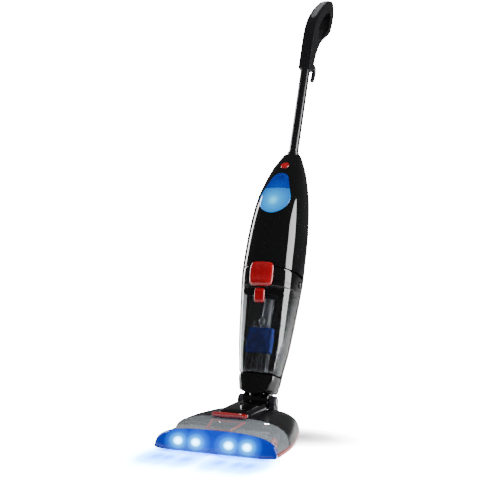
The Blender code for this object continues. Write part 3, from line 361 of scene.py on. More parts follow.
def tube(name, line, radius, place, sides=20, squash=1.0):
    """A round rod along a line: circles square to the line's direction, domed ends."""
    line = np.asarray(line, float)
    along = np.gradient(line, axis=0)
    along /= np.linalg.norm(along, axis=1)[:, None]
    side = np.cross(along, np.where(np.abs(along[:, :1]) > 0.9, (0, 1, 0), (1.0, 0, 0)))
    side /= np.linalg.norm(side, axis=1)[:, None]
    other = np.cross(along, side)
    dome = np.linspace(0, math.pi / 2, 5)[:-1]
    line = np.vstack([line[0] - along[0] * radius * np.cos(dome)[:, None] * 0.6, line,
                      line[-1] + along[-1] * radius * np.cos(dome[::-1])[:, None] * 0.6])
    scale = np.concatenate([np.sin(dome), np.ones(len(along)), np.sin(dome[::-1])]) * radius
    side = np.vstack([np.repeat(side[:1], 4, 0), side, np.repeat(side[-1:], 4, 0)])
    other = np.vstack([np.repeat(other[:1], 4, 0), other, np.repeat(other[-1:], 4, 0)])
    a = np.linspace(0, 2 * math.pi, sides, endpoint=False)
    rings = (line[:, None, :] + scale[:, None, None] * (
        np.cos(a)[None, :, None] * side[:, None, :] * squash
        + np.sin(a)[None, :, None] * other[:, None, :]))
    return stack(name, place(rings), caps=False)


def prism(name, outline, low, high, place, across="y"):
    """A straight prism on a closed outline of (x, height), or of (x, y) with across='z'."""
    outline = np.asarray(outline, float)
    rings = []
    for value in (low, high):
        level = np.full(len(outline), value)
        columns = ([outline[:, 0], level, outline[:, 1]] if across == "y"
                   else [outline[:, 0], outline[:, 1], level])
        rings.append(np.stack(columns, axis=1))
    return stack(name, place(np.array(rings)))


def block(name, low, high, place):
    """A plain block, used only to cut openings."""
    (x0, y0, z0), (x1, y1, z1) = low, high
    return prism(name, [(x0, z0), (x1, z0), (x1, z1), (x0, z1)], y0, y1, place)


def cut(obj, *tools, operation="DIFFERENCE"):
    """Cut tools out of an object for good, and remove them."""
    for tool in tools:
        mod = obj.modifiers.new("cut", "BOOLEAN")
        mod.object, mod.operation, mod.solver = tool, operation, "EXACT"
    graph = bpy.context.evaluated_depsgraph_get()
    mesh = bpy.data.meshes.new_from_object(obj.evaluated_get(graph))
    obj.modifiers.clear()
    obj.data = mesh
    for tool in tools:
        bpy.data.objects.remove(tool, do_unlink=True)
    return obj


def refined(node):
    """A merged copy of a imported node, for smooth shading on its own round faces."""
    mesh = frame["nodes"][node].data.copy()
    obj = bpy.data.objects.new(node + "_finish", mesh)
    bpy.context.scene.collection.objects.link(obj)
    mesh.materials.clear()
    work = bmesh.new()
    work.from_mesh(mesh)
    bmesh.ops.remove_doubles(work, verts=work.verts, dist=0.00001)
    bmesh.ops.dissolve_limit(work, angle_limit=math.radians(1.0), verts=work.verts,
                             edges=work.edges)
    work.to_mesh(mesh)
    work.free()
    return obj


def put(obj, body, finish, slot, *nodes, edge=None, angle=35):
    """Give a piece its material, its body and the nodes that it stands for; the slot argument is not used.
    """
    obj.data.materials.clear()
    obj.data.materials.append(material(finish))
    if edge != 0:
        mod = obj.modifiers.new("edge", "BEVEL")
        mod.width = edge or bpy.context.scene.washer_sizes.edge_round
        mod.segments = 2
        mod.limit_method = "ANGLE"
        mod.angle_limit = math.radians(40)
        mod.harden_normals = False
    obj.data.shade_smooth()
    obj.data.set_sharp_from_angle(angle=math.radians(angle))
    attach(obj, body)
    if nodes:
        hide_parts(*nodes)
    return obj


# Materials ------------------------------------------------------------------
def node(tree, kind, links=None, values=None, **settings):
    """Add a node, set its fields and unlinked inputs, and link outputs into it."""
    added = tree.nodes.new(kind)
    for key, value in settings.items():
        setattr(added, key, value)
    for key, value in (values or {}).items():
        added.inputs[key].default_value = value
    for key, source in (links or {}).items():
        tree.links.new(added.inputs[key], source)
    return added


def rgba(colour, gain=1.0):
    return (*(min(1.0, c * gain) for c in colour), 1.0)


def moulded(tree, shader, colour, roughness, grain_mm, depth_mm, shade=0.10, spread=0.04):
    """Moulded skin: slow change of tone and gloss, and a fine grain of a real size."""
    place = node(tree, "ShaderNodeTexCoord").outputs["Object"]
    slow = node(tree, "ShaderNodeTexNoise", {"Vector": place}, {"Scale": 22.0, "Detail": 2.0})
    fine = node(tree, "ShaderNodeTexNoise", {"Vector": place},
                {"Scale": 1000.0 / grain_mm, "Detail": 2.0})
    tone = node(tree, "ShaderNodeMixRGB", {"Fac": slow.outputs["Fac"]},
                {"Color1": rgba(colour, 1 - shade), "Color2": rgba(colour, 1 + shade)})
    gloss = node(tree, "ShaderNodeMapRange", {"Value": slow.outputs["Fac"]},
                 {"To Min": roughness - spread, "To Max": roughness + spread})
    bump = node(tree, "ShaderNodeBump", {"Height": fine.outputs["Fac"]},
                {"Strength": 0.6, "Distance": depth_mm / 1000.0})
    tree.links.new(shader.inputs["Base Color"], tone.outputs["Color"])
    tree.links.new(shader.inputs["Roughness"], gloss.outputs["Result"])
    tree.links.new(shader.inputs["Normal"], bump.outputs["Normal"])
    return place, tone, bump


def finish_gloss_black(tree, shader, c):
    """High-gloss ABS, polished mould: near black with hard strip reflections."""
    moulded(tree, shader, c.gloss, 0.055, 9.0, 0.012, spread=0.015)
    shader.inputs["Coat Weight"].default_value = 0.35
    shader.inputs["Coat Roughness"].default_value = 0.03


def finish_satin_black(tree, shader, c):
    """Spark-eroded ABS: fine grain that spreads the light into a soft sheen."""
    moulded(tree, shader, c.satin, 0.30, 0.9, 0.012)


def finish_dark_grey(tree, shader, c):
    """Glass-filled polypropylene of the inner frames: dull with slight flow marks."""
    moulded(tree, shader, c.dark, 0.50, 1.4, 0.05, shade=0.18)


def finish_mid_grey(tree, shader, c):
    """Plain grey ABS."""
    moulded(tree, shader, c.grey, 0.42, 1.2, 0.03)


def finish_grip(tree, shader, c):
    """Soft-touch elastomer of the grip pad: even, fine-grained and dull."""
    moulded(tree, shader, tuple(v * 0.25 for v in c.grey), 0.48, 0.8, 0.03)
    shader.inputs["Sheen Weight"].default_value = 0.25


def finish_red(tree, shader, c):
    """Tinted glossy polycarbonate: deep red that lets a little light through."""
    moulded(tree, shader, c.red, 0.14, 6.0, 0.01, shade=0.12, spread=0.03)
    shader.inputs["Transmission Weight"].default_value = 0.12
    shader.inputs["Coat Weight"].default_value = 0.4


def finish_rubber(tree, shader, c):
    """Moulded rubber: dark, matt, slightly dusty."""
    moulded(tree, shader, c.rubber, 0.78, 1.0, 0.08, shade=0.35)


def finish_steel(tree, shader, c):
    """Turned steel: metallic, with a fine grain drawn coarser than real tool marks."""
    moulded(tree, shader, c.steel, 0.30, 1.0, 0.01, shade=0.06)
    shader.inputs["Metallic"].default_value = 1.0


def finish_alloy(tree, shader, c):
    """Die-cast aluminium: pale, with a dull cast skin."""
    moulded(tree, shader, c.steel, 0.46, 1.6, 0.05, shade=0.08)
    shader.inputs["Metallic"].default_value = 1.0


def finish_tube(tree, shader, c):
    """Black powder coat on aluminium: fine orange peel under a satin gloss."""
    moulded(tree, shader, c.satin, 0.20, 1.5, 0.003)


def finish_board(tree, shader, c):
    """Glass-epoxy circuit board: green resist with paler tracks in a square grid."""
    place, tone, _ = moulded(tree, shader, c.board, 0.45, 1.2, 0.02)
    tracks = node(tree, "ShaderNodeTexBrick", {"Vector": place, "Color1": tone.outputs["Color"]},
                  {"Color2": rgba(c.board, 1.6), "Mortar": rgba(c.board, 0.5), "Scale": 90.0,
                   "Mortar Size": 0.03})
    tree.links.new(shader.inputs["Base Color"], tracks.outputs["Color"])


def finish_pile(tree, shader, c):
    """Microfibre pile: soft tufts, paler at their tips and darker at their roots as painted shade between
    the tufts, in random patches.
    """
    place = node(tree, "ShaderNodeTexCoord").outputs["Object"]
    tufts = node(tree, "ShaderNodeTexNoise", {"Vector": place}, {"Scale": 900.0, "Detail": 3.0})
    patches = node(tree, "ShaderNodeTexNoise", {"Vector": place}, {"Scale": 60.0, "Detail": 2.0})
    both = node(tree, "ShaderNodeMath", {0: tufts.outputs["Fac"], 1: patches.outputs["Fac"]},
                operation="MULTIPLY")
    patches_and_root_shade = node(tree, "ShaderNodeMapRange", {"Value": both.outputs["Value"]},
                 {"From Min": 0.12, "From Max": 0.42})
    # Painted shade: the colour follows the tuft bumps, darker down at the roots where shade falls between
    # the tufts, and varies in random patches.
    tone = node(tree, "ShaderNodeMixRGB", {"Fac": patches_and_root_shade.outputs["Result"]},
                {"Color1": rgba(c.pile, 0.45), "Color2": rgba(c.pile, 1.9)})
    bump = node(tree, "ShaderNodeBump", {"Height": tufts.outputs["Fac"]},
                {"Strength": 0.9, "Distance": 0.0006})
    tree.links.new(shader.inputs["Base Color"], tone.outputs["Color"])
    tree.links.new(shader.inputs["Normal"], bump.outputs["Normal"])
    shader.inputs["Roughness"].default_value = 0.9
    shader.inputs["Sheen Weight"].default_value = 0.6


def finish_foam(tree, shader, c):
    """Open-cell filter foam: round pores about a millimetre across, painted darker at their middles as
    shade inside them.
    """
    place = node(tree, "ShaderNodeTexCoord").outputs["Object"]
    pores = node(tree, "ShaderNodeTexVoronoi", {"Vector": place}, {"Scale": 700.0})
    # Painted shade: the pores, which the bump sinks, are darker at their middles.
    tone = node(tree, "ShaderNodeMixRGB", {"Fac": pores.outputs["Distance"]},
                {"Color1": rgba(c.foam, 0.5), "Color2": rgba(c.foam, 1.7)})
    bump = node(tree, "ShaderNodeBump", {"Height": pores.outputs["Distance"]},
                {"Strength": 0.8, "Distance": 0.0005})
    tree.links.new(shader.inputs["Base Color"], tone.outputs["Color"])
    tree.links.new(shader.inputs["Normal"], bump.outputs["Normal"])
    shader.inputs["Roughness"].default_value = 0.85


def see_through(tree, shader, colour, roughness, index):
    """Clear moulding: even tint, very slight ripple in its gloss."""
    place = node(tree, "ShaderNodeTexCoord").outputs["Object"]
    ripple = node(tree, "ShaderNodeTexNoise", {"Vector": place}, {"Scale": 45.0, "Detail": 1.0})
    bump = node(tree, "ShaderNodeBump", {"Height": ripple.outputs["Fac"]},
                {"Strength": 0.15, "Distance": 0.0003})
    tree.links.new(shader.inputs["Normal"], bump.outputs["Normal"])
    shader.inputs["Base Color"].default_value = rgba(colour)
    shader.inputs["Roughness"].default_value = roughness
    shader.inputs["IOR"].default_value = index
    shader.inputs["Transmission Weight"].default_value = 1.0
    return place


def finish_clear(tree, shader, c):
    """Clear copolyester of the dirty-water tank: bright edges, faint grey body."""
    see_through(tree, shader, c.clear, 0.02, 1.45)


def finish_smoke(tree, shader, c):
    """Thin clear polycarbonate over the roller: pale film that shows what lies below it."""
    see_through(tree, shader, c.smoke, 0.06, 1.45)
    shader.inputs["Transmission Weight"].default_value = 0.0
    shader.inputs["Alpha"].default_value = 0.11


def painted_light_near(tree, place, centres, radius):
    """How near a point is to any of some centres: 1 at a centre, 0 at the radius; the mask of the painted
    glows and the painted shadow.
    """
    nearest = None
    for centre in centres:
        mapping = node(tree, "ShaderNodeMapping", {"Vector": place},
                       {"Location": tuple(-c / r for c, r in zip(centre, radius)),
                        "Scale": tuple(1 / r for r in radius)})
        ball = node(tree, "ShaderNodeTexGradient", {"Vector": mapping.outputs["Vector"]},
                    gradient_type="SPHERICAL").outputs["Fac"]
        if nearest is not None:
            ball = node(tree, "ShaderNodeMath", {0: nearest, 1: ball}, operation="MAXIMUM").outputs[0]
        nearest = ball
    return nearest


def ramp(tree, value, stops):
    """A colour ramp through (position, colour) stops."""
    added = node(tree, "ShaderNodeValToRGB", {"Fac": value})
    elements = added.color_ramp.elements
    while len(elements) < len(stops):
        elements.new(1.0)
    for element, (position, colour) in zip(elements, stops):
        element.position, element.color = position, rgba(colour)
    return added.outputs["Color"]


def finish_lens(tree, shader, c):
    """Blue polycarbonate lens with a painted glow: emission painted navy at its ends and azure round the
    four lamps, in place of the lamps' light through it.
    """
    place = see_through(tree, shader, c.lens, 0.09, 1.40)
    shader.inputs["Transmission Weight"].default_value = 0.25
    shader.inputs["Base Color"].default_value = rgba(c.lens, 0.2)
    # Painted glow across the lens, brightest in its middle, in place of lamp light.
    painted_lens_glow = painted_light_near(tree, place, [in_head((0, 0.006, 0.020))], (0.170, 0.090, 0.070))
    body = ramp(tree, painted_lens_glow, [(0.0, (0.0, 0.0003, 0.004)), (0.45, (0.0, 0.0024, 0.034)),
                             (1.0, (0.0, 0.0055, 0.052))])
    # Painted glow round each lamp, in place of the light that floods through the lens.
    near = painted_light_near(tree, place, [in_head((x, 0.004, 0.026)) for x in LAMP_X],
                     (0.038, 0.050, 0.030))
    painted_lamp_glow = ramp(tree, near, [(0.0, (0.0, 0.0, 0.0)), (0.35, (0.0, 0.010, 0.035)),
                             (0.66, (0.001, 0.055, 0.11)), (0.93, (0.25, 0.70, 0.90))])
    colour = node(tree, "ShaderNodeMixRGB", {"Color1": body, "Color2": painted_lamp_glow}, {"Fac": 1.0},
                  blend_type="ADD")
    tree.links.new(shader.inputs["Emission Color"], colour.outputs["Color"])
    shader.inputs["Emission Strength"].default_value = 14.0


def finish_window(tree, shader, c):
    """Window with a painted glow: emission azure at its rim and palest low down, in place of light from
    behind it.
    """
    place = node(tree, "ShaderNodeTexCoord").outputs["Object"]
    # Painted glow, brightest low in the window.
    near = painted_light_near(tree, place, [in_body((0.0, -0.088, 0.486))], (0.062, 0.062, 0.062))
    colour = ramp(tree, near, [(0.0, (0.0, 0.006, 0.06)), (0.40, (0.0, 0.040, 0.16)),
                               (0.75, (0.001, 0.11, 0.27)), (1.0, (0.03, 0.30, 0.42))])
    tree.links.new(shader.inputs["Emission Color"], colour)
    shader.inputs["Emission Strength"].default_value = 4.0
    shader.inputs["Base Color"].default_value = rgba(c.window, 0.15)
    shader.inputs["Roughness"].default_value = 0.08
    shader.inputs["Coat Weight"].default_value = 0.5


def finish_cap(tree, shader, c):
    """Dark blue translucent polycarbonate with a painted glow, in place of light from the window below it.
    """
    place = see_through(tree, shader, c.cap, 0.08, 1.45)
    shader.inputs["Transmission Weight"].default_value = 0.35
    # Painted glow, brightest near the window below the cap.
    near = painted_light_near(tree, place, [in_body((0.0, -0.070, 0.520))], (0.060, 0.060, 0.060))
    colour = ramp(tree, near, [(0.0, (0.0, 0.0005, 0.008)), (0.5, (0.0, 0.003, 0.035)),
                               (1.0, (0.001, 0.018, 0.11))])
    tree.links.new(shader.inputs["Emission Color"], colour)
    shader.inputs["Emission Strength"].default_value = 3.0


def finish_lamp(tree, shader, c):
    """Lit lamp: white with a cyan edge, hottest at its middle."""
    fresnel = node(tree, "ShaderNodeLayerWeight", values={"Blend": 0.35})
    colour = ramp(tree, fresnel.outputs["Facing"], [(0.0, linear("#FFFFFF")), (1.0, linear("#59D6FF"))])
    tree.links.new(shader.inputs["Emission Color"], colour)
    shader.inputs["Emission Strength"].default_value = 30.0
    shader.inputs["Base Color"].default_value = rgba(linear("#DFF6FF"))


def finish_reflector(tree, shader, c):
    """Vacuum-coated reflector strip: bright, slightly hazy metal."""
    moulded(tree, shader, linear("#BFD2FF"), 0.22, 4.0, 0.02, shade=0.05)
    shader.inputs["Metallic"].default_value = 0.8


FINISHES = {
    "gloss_black": finish_gloss_black, "satin_black": finish_satin_black,
    "dark_grey": finish_dark_grey, "mid_grey": finish_mid_grey, "grip": finish_grip,
    "red": finish_red, "rubber": finish_rubber, "steel": finish_steel, "alloy": finish_alloy,
    "tube_black": finish_tube, "board_green": finish_board, "pile": finish_pile,
    "filter_blue": finish_foam, "clear": finish_clear, "smoke": finish_smoke,
    "lens_blue": finish_lens, "window_blue": finish_window, "cap_blue": finish_cap,
    "lamp": finish_lamp, "led_white": finish_reflector,
}


def material(name):
    """The material of a finish, made the first time that it is asked for."""
    found = bpy.data.materials.get("washer_" + name)
    if found is None:
        found = bpy.data.materials.new("washer_" + name)
        found.use_nodes = True
        tree = found.node_tree
        FINISHES[name](tree, tree.nodes["Principled BSDF"], bpy.context.scene.washer_colours)
    return found


# Operators ------------------------------------------------------------------
class Maker:
    """What every operator here shares."""
    bl_options = {"REGISTER", "UNDO"}

    def execute(self, context):
        self.make(context.scene.washer_sizes)
        return {"FINISHED"}


class WASHER_OT_shells(Maker, bpy.types.Operator):
    """Front cover, lower front cover and rear shell of the body."""
    bl_idname = "washer.shells"
    bl_label = "Body Shells"

    def make(self, sizes):
        t = np.linspace(COVER_BOTTOM, BODY_TOP, 120)
        cover = slab("front_cover_skin", in_body(front_section(t, 121, 0, SEAM)),
                     in_body(front_section(t, 121, WALL, SEAM)))
        window = prism("window_tool", drop_line(0.0005, 140), -0.14, -0.02, in_body)
        hole = turned("button_tool", [(0, -0.012), (BUTTON_R + 0.0005, -0.012),
                                      (BUTTON_R + 0.0005, 0.012), (0, 0.012)],
                      button_place(), button_out())
        put(cut(cover, window, hole), "body", "gloss_black", "gloss_black", "front_cover")
        t = np.linspace(BODY_BOTTOM, TANK_BOTTOM - 0.0012, 30)
        walls = []
        for wall in (0, WALL):
            skin = front_section(t, 121, wall, SEAM)
            share = (t[-1] - t)[:, None] / (t[-1] - t[0])
            skin[..., 2] -= CHIN_DROP * np.maximum(0, 1 - (skin[..., 0] / 0.036) ** 2) * share
            walls.append(in_body(skin))
        chin = slab("chin_cover_skin", *walls)
        put(chin, "body", "gloss_black", "gloss_black", "chin_cover")
        t = np.linspace(BODY_BOTTOM, BODY_TOP, 420)
        a = np.linspace(0, math.pi, 121)
        rows = (np.clip((t - 0.340) / 0.004, 0, 1) * np.clip((0.404 - t) / 0.004, 0, 1)
                * (0.5 + 0.5 * np.tanh(6 * np.sin(2 * math.pi * t / 0.008))))
        middle = np.clip((0.62 - np.abs(a - math.pi / 2)) / 0.06, 0, 1)
        vents = 0.0011 * rows[:, None] * middle[None, :]
        rear = slab("rear_shell_skin", in_body(rear_section(t, 121, vents)),
                    in_body(rear_section(t, 121, WALL)))
        put(rear, "body", "satin_black", "satin_black", "rear_shell")


def button_place():
    """Middle of the power button's face, on the sloping shoulder."""
    return np.array([0.0, -float(station(BODY, BUTTON_T, 1)), BUTTON_T])


def button_out():
    """Outward direction of the button, square to the shoulder."""
    slope = float(station(BODY, BUTTON_T + 0.006, 1) - station(BODY, BUTTON_T - 0.006, 1)) / 0.012
    out = np.array([0.0, -1.0, -slope])
    return out / np.linalg.norm(out)


def front_pad(name, outline, centre, thick, clearance, back=0.0, rise=None, rows=26):
    """A cushion-edged plate on the body's front: its outline shrunk towards a centre.

    Height over the surface is thick (1 - s^7)^(1/2.2), where s runs from 0 at the centre
    to 1 at the outline; rise(x, t) scales it.
    """
    closing = 0.8 + 0.2 * np.sin(np.linspace(0, math.pi / 2, rows - 9))[1:]
    s = np.concatenate([np.linspace(0, 0.8, 10), closing])
    flat = centre + s[:, None, None] * (outline[None, :, :] - centre)
    x, t = flat[..., 0], flat[..., 1]
    ground = front_depth(x, t) - clearance
    height = thick * (1 - s ** 7)[:, None] ** (1 / 2.2)
    if rise is not None:
        height = height * rise(x, t)
    top = np.stack([x, ground - height, t], axis=-1)
    under = np.stack([x, ground + back, t], axis=-1)
    return stack(name, in_body(np.concatenate([top, under[::-1]])), caps=False)


def rounded_plate(width, low, high, power=5.0, count=160):
    """A superellipse outline of a given width between two heights, and its centre."""
    a = np.linspace(0, 2 * math.pi, count, endpoint=False)
    centre = np.array([0.0, (low + high) / 2])
    outline = np.stack([signed_power(np.cos(a), 2 / power) * width / 2,
                        centre[1] + signed_power(np.sin(a), 2 / power) * (high - low) / 2], 1)
    return resampled(outline, count), centre


class WASHER_OT_window(Maker, bpy.types.Operator):
    """Clean-water window with a painted glow and the filler cap above it, flush in one drop shape."""
    bl_idname = "washer.window"
    bl_label = "Window and Filler Cap"

    def make(self, sizes):
        line = drop_line(0.0, 600)
        low = self.part(line, line[:, 1] < WINDOW_SPLIT - 0.0002)
        high = self.part(line, line[:, 1] > WINDOW_SPLIT + 0.0004)
        lens = front_pad("window_lens", low, np.array([0, 0.4890]), 0.0012, 0.0, 0.0018)
        put(lens, "body", "window_blue", "window_blue", "tank_window", edge=0)

        def recess(x, t):
            """A shallow oval finger dish near the top of the cap, with a raised rim."""
            r = np.sqrt((x / 0.0115) ** 2 + ((t - 0.5490) / 0.0105) ** 2)
            return 1 - 2.0 * np.exp(-r ** 4) + 0.9 * np.exp(-((r - 1.25) / 0.22) ** 2)

        cap = front_pad("filler_cap_lid", high, np.array([0, 0.5460]), 0.0014, 0.0, 0.0018, recess, 60)
        put(cap, "filler_cap", "cap_blue", "lens_blue", "filler_cap", edge=0)

    @staticmethod
    def part(line, wanted):
        """The points on one side of the split, closed by a straight edge, evenly spaced."""
        start = int(np.argmax(wanted & ~np.roll(wanted, 1)))
        chosen = np.roll(line, -start, axis=0)[:int(wanted.sum())]
        return resampled(chosen, 180)


class WASHER_OT_button(Maker, bpy.types.Operator):
    """Round power button with a dished face."""
    bl_idname = "washer.button"
    bl_label = "Power Button"

    def make(self, sizes):
        r = np.linspace(0, BUTTON_R - 0.0008, 18)
        face = np.stack([r, 0.0017 + 0.0005 * np.cos(r / BUTTON_R * 5.2)], 1)
        profile = np.vstack([face, [(BUTTON_R, 0.0006), (BUTTON_R, -0.0050), (0, -0.0050)]])
        button = turned("power_button_cap", profile[::-1], button_place(), button_out())
        put(button, "power_button", "red", "red", "power_button", edge=0.0004)


class WASHER_OT_tank(Maker, bpy.types.Operator):
    """Clear dirty-water tank, its lid and side grips, the red latch and tab."""
    bl_idname = "washer.tank"
    bl_label = "Dirty-water Tank"

    def make(self, sizes):
        self.shell()
        self.lid()
        outline, centre = rounded_plate(0.061, 0.2630, 0.3220)
        latch = front_pad("tank_latch_plate", outline, centre, 0.0062, 0.0020, 0.0, lip, 30)
        put(latch, "tank_latch", "red", "red", "tank_latch", edge=0)
        outline, centre = rounded_plate(0.027, 0.2235, 0.2580)
        tab = front_pad("tank_tab_plate", outline, centre, 0.0055, 0.0010, 0.0)
        put(tab, "tank", "red", "red", "tank_pull_tab", edge=0)
        half = float(station(BODY, 0.2900, 3))
        r = np.linspace(0, 0.0098, 20)
        dome = np.stack([r, 0.0046 * (1 - (r / 0.0102) ** 4) - 0.0012 * np.exp(-(r / 0.004) ** 2)], 1)
        for side, label in ((-1, "left"), (1, "right")):
            grip = turned("tank_grip_" + label, np.vstack([dome, [(0.0100, 0), (0, 0)]])[::-1],
                          (side * (half + 0.0004), -0.0120, 0.2900), (side, 0, 0))
            put(grip, "tank", "satin_black", "satin_black", "side_grip_" + label, edge=0.0004)

    @staticmethod
    def shell():
        """Rings up the outside, whose foot tucks in by a power curve, and down the inside."""
        t = np.concatenate([TANK_BOTTOM + 0.010 * np.linspace(0, 1, 14) ** 1.6,
                            np.linspace(0.070, TANK_TOP, 60)])
        tuck = 0.0060 * (np.maximum(0, 0.010 - (t - TANK_BOTTOM)) / 0.010) ** 2.2
        outer = front_section(t, 121, tuck, SEAM)
        up = t > TANK_BOTTOM + 0.0022
        inner = front_section(t[up], 121, tuck[up] + 0.0022, SEAM + 0.0022)
        skin = stack("dirty_tank", in_body(np.concatenate([outer, inner[::-1]])))
        put(skin, "tank", "clear", "clear", "tank_shell")

    @staticmethod
    def lid():
        """Rings up the inner skirt, out over the band and in over the sloping top."""
        def ring(t, inset, slope=0.0):
            points = front_section(np.array([t]), 121, inset, SEAM)[0]
            points[:, 2] -= slope * (1 + points[:, 1] / 0.095)
            return points
        base = TANK_TOP + 0.0006
        rings = [ring(LID_TOP - 0.0080, WALL), ring(base, WALL), ring(base, 0.0004), ring(base + 0.0006, 0)]
        rings += [ring(t, 0) for t in np.linspace(base + 0.002, 0.2780, 6)]
        rings += [ring(0.2786, 0.0008), ring(0.2794, 0.0008), ring(0.2800, 0)]
        rings += [ring(t, 0) for t in np.linspace(0.2810, 0.2990, 6)]
        rings += [ring(t, 0, 0.0045 * (t - 0.2990) / 0.0118) for t in np.linspace(0.3010, 0.3108, 4)]
        rings += [ring(LID_TOP - 0.0004, 0.0003, 0.0045), ring(LID_TOP, 0.0012, 0.0045)]
        lid = stack("tank_lid_skin", in_body(np.array(rings)))
        put(lid, "tank", "gloss_black", "gloss_black", "tank_lid", edge=0)


def lip(x, t):
    """The latch swells towards its lower edge, where the thumb pulls it."""
    return 0.78 + 0.40 / (1 + np.exp((t - 0.2800) / 0.0022))


class WASHER_OT_tank_insides(Maker, bpy.types.Operator):
    """Riser with its cage ribs, pleated filter, float and seal inside the tank."""
    bl_idname = "washer.tank_insides"
    bl_label = "Tank Insides"

    def make(self, sizes):
        riser = turned("riser_pipe", [(0.0125, 0.2480), (0.0125, 0.0600), (0.0110, 0.0600),
                                      (0.0110, 0.2480)], (0, RISER_BACK, 0), (0, 0, 1), ring=True)
        put(riser, "tank", "mid_grey", "mid_grey", "intake_riser")
        for i, x in enumerate(np.linspace(-0.027, 0.027, 7)):
            rib = block("cage_rib_%d" % i, (x - 0.0008, -0.0490, 0.0620), (x + 0.0008, -0.0305, 0.1074),
                        in_body)
            put(rib, "tank", "mid_grey", "mid_grey", edge=0.0003)
        x = np.linspace(-0.0310, 0.0310, 125)
        wave = sizes.pleat_depth * np.abs((x / sizes.pleat_pitch) % 1 * 2 - 1)
        outline = np.vstack([np.stack([x, -0.0495 + wave], 1), np.stack([x, -0.0305 - wave], 1)[::-1]])
        filt = prism("pleated_filter", outline, 0.1080, 0.1700, in_body, across="z")
        put(filt, "tank", "filter_blue", "filter_blue", "tank_filter", edge=0)
        h = np.linspace(0, math.pi, 24)
        ball = np.stack([0.0090 * np.sin(h) ** 0.6, 0.1853 - 0.0095 * np.cos(h)], 1)
        put(turned("float_cup", ball, (0, -0.0420, 0), (0, 0, 1)), "float", "mid_grey", "mid_grey",
            "float_ball", edge=0)
        put(refined("lid_seal"), "tank", "rubber", "rubber", "lid_seal", edge=0)


class WASHER_OT_lens(Maker, bpy.types.Operator):
    """Front lens of the head and the four lamps behind it."""
    bl_idname = "washer.lens"
    bl_label = "Front Lens and Lamps"

    def make(self, sizes):
        grids = [self.surface(wall) for wall in (0.0, 0.0022)]
        lens = slab("front_lens_skin", in_head(grids[0]), in_head(grids[1]))
        put(lens, "head", "lens_blue", "lens_blue", "front_lens")
        put(refined("led_reflector"), "head", "led_white", "led_white", "led_reflector", edge=0)
        h = np.linspace(0, math.pi / 2, 10)
        dome = np.stack([0.0042 * np.sin(h), 0.0030 * np.cos(h)], 1)
        for i, x in enumerate(LAMP_X):
            lamp = turned("lamp_%d" % i, np.vstack([dome, [(0, 0)]])[::-1], (x, 0.0200, 0.0250),
                          (0, -1, 0), 32, place=in_head)
            put(lamp, "head", "lamp", "led_white", edge=0)

    @staticmethod
    def surface(wall):
        """Quarter-ellipse columns under an arched crown, swept back at both ends."""
        s = np.linspace(-1, 1, 181)[:, None]
        half = 0.149
        x = signed_power(s, 0.85) * half
        crown = 0.050 * (1 - np.abs(x / (half + 0.0012)) ** ARCH_POWER) ** (1 / ARCH_POWER) + 0.002
        wrap = 0.012 * np.maximum(0, np.abs(x / half) - 0.72) ** 2 / 0.28 ** 2
        a = np.linspace(0, math.pi / 2, 48)[None, :]
        y = wrap + wall + (0.0212 - wrap - wall) * (1 - np.cos(a))
        z = 0.004 + (crown - 0.004 - wall) * np.sin(a)
        return np.stack([x + 0 * y, y, z], axis=-1)


class WASHER_OT_roller_cover(Maker, bpy.types.Operator):
    """Clear cover over the roller and the bar latch at its back edge."""
    bl_idname = "washer.roller_cover"
    bl_label = "Roller Cover and Latch"

    def make(self, sizes):
        y = np.linspace(0.0225, 0.1040, 60)
        cover = slab("roller_cover_skin", in_head(head_arches(y, 181)),
                     in_head(head_arches(y, 181, 0.0022)))
        put(cover, "window", "smoke", "clear", "window_cover", edge=0.0008)
        low, high = (np.array(c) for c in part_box("window_latch"))
        bar = pebble("roller_latch_bar", (low + high) / 2, (high - low) / 2, (0.22, 0.30))
        put(bar, "window_latch", "red", "red", "window_latch", edge=0)


def pebble(name, centre, half, powers, rows=48, columns=96):
    """A superellipsoid in world axes: round corners whose squareness the powers give."""
    n = np.linspace(-math.pi / 2, math.pi / 2, rows)[:, None]
    w = np.linspace(-math.pi, math.pi, columns, endpoint=False)[None, :]
    e, f = powers
    ring = np.abs(np.cos(n)) ** e
    points = np.stack([signed_power(np.sin(n), e) + 0 * w, ring * signed_power(np.cos(w), f),
                       ring * signed_power(np.sin(w), f)], axis=-1)
    return stack(name, centre + points * half, caps=False)


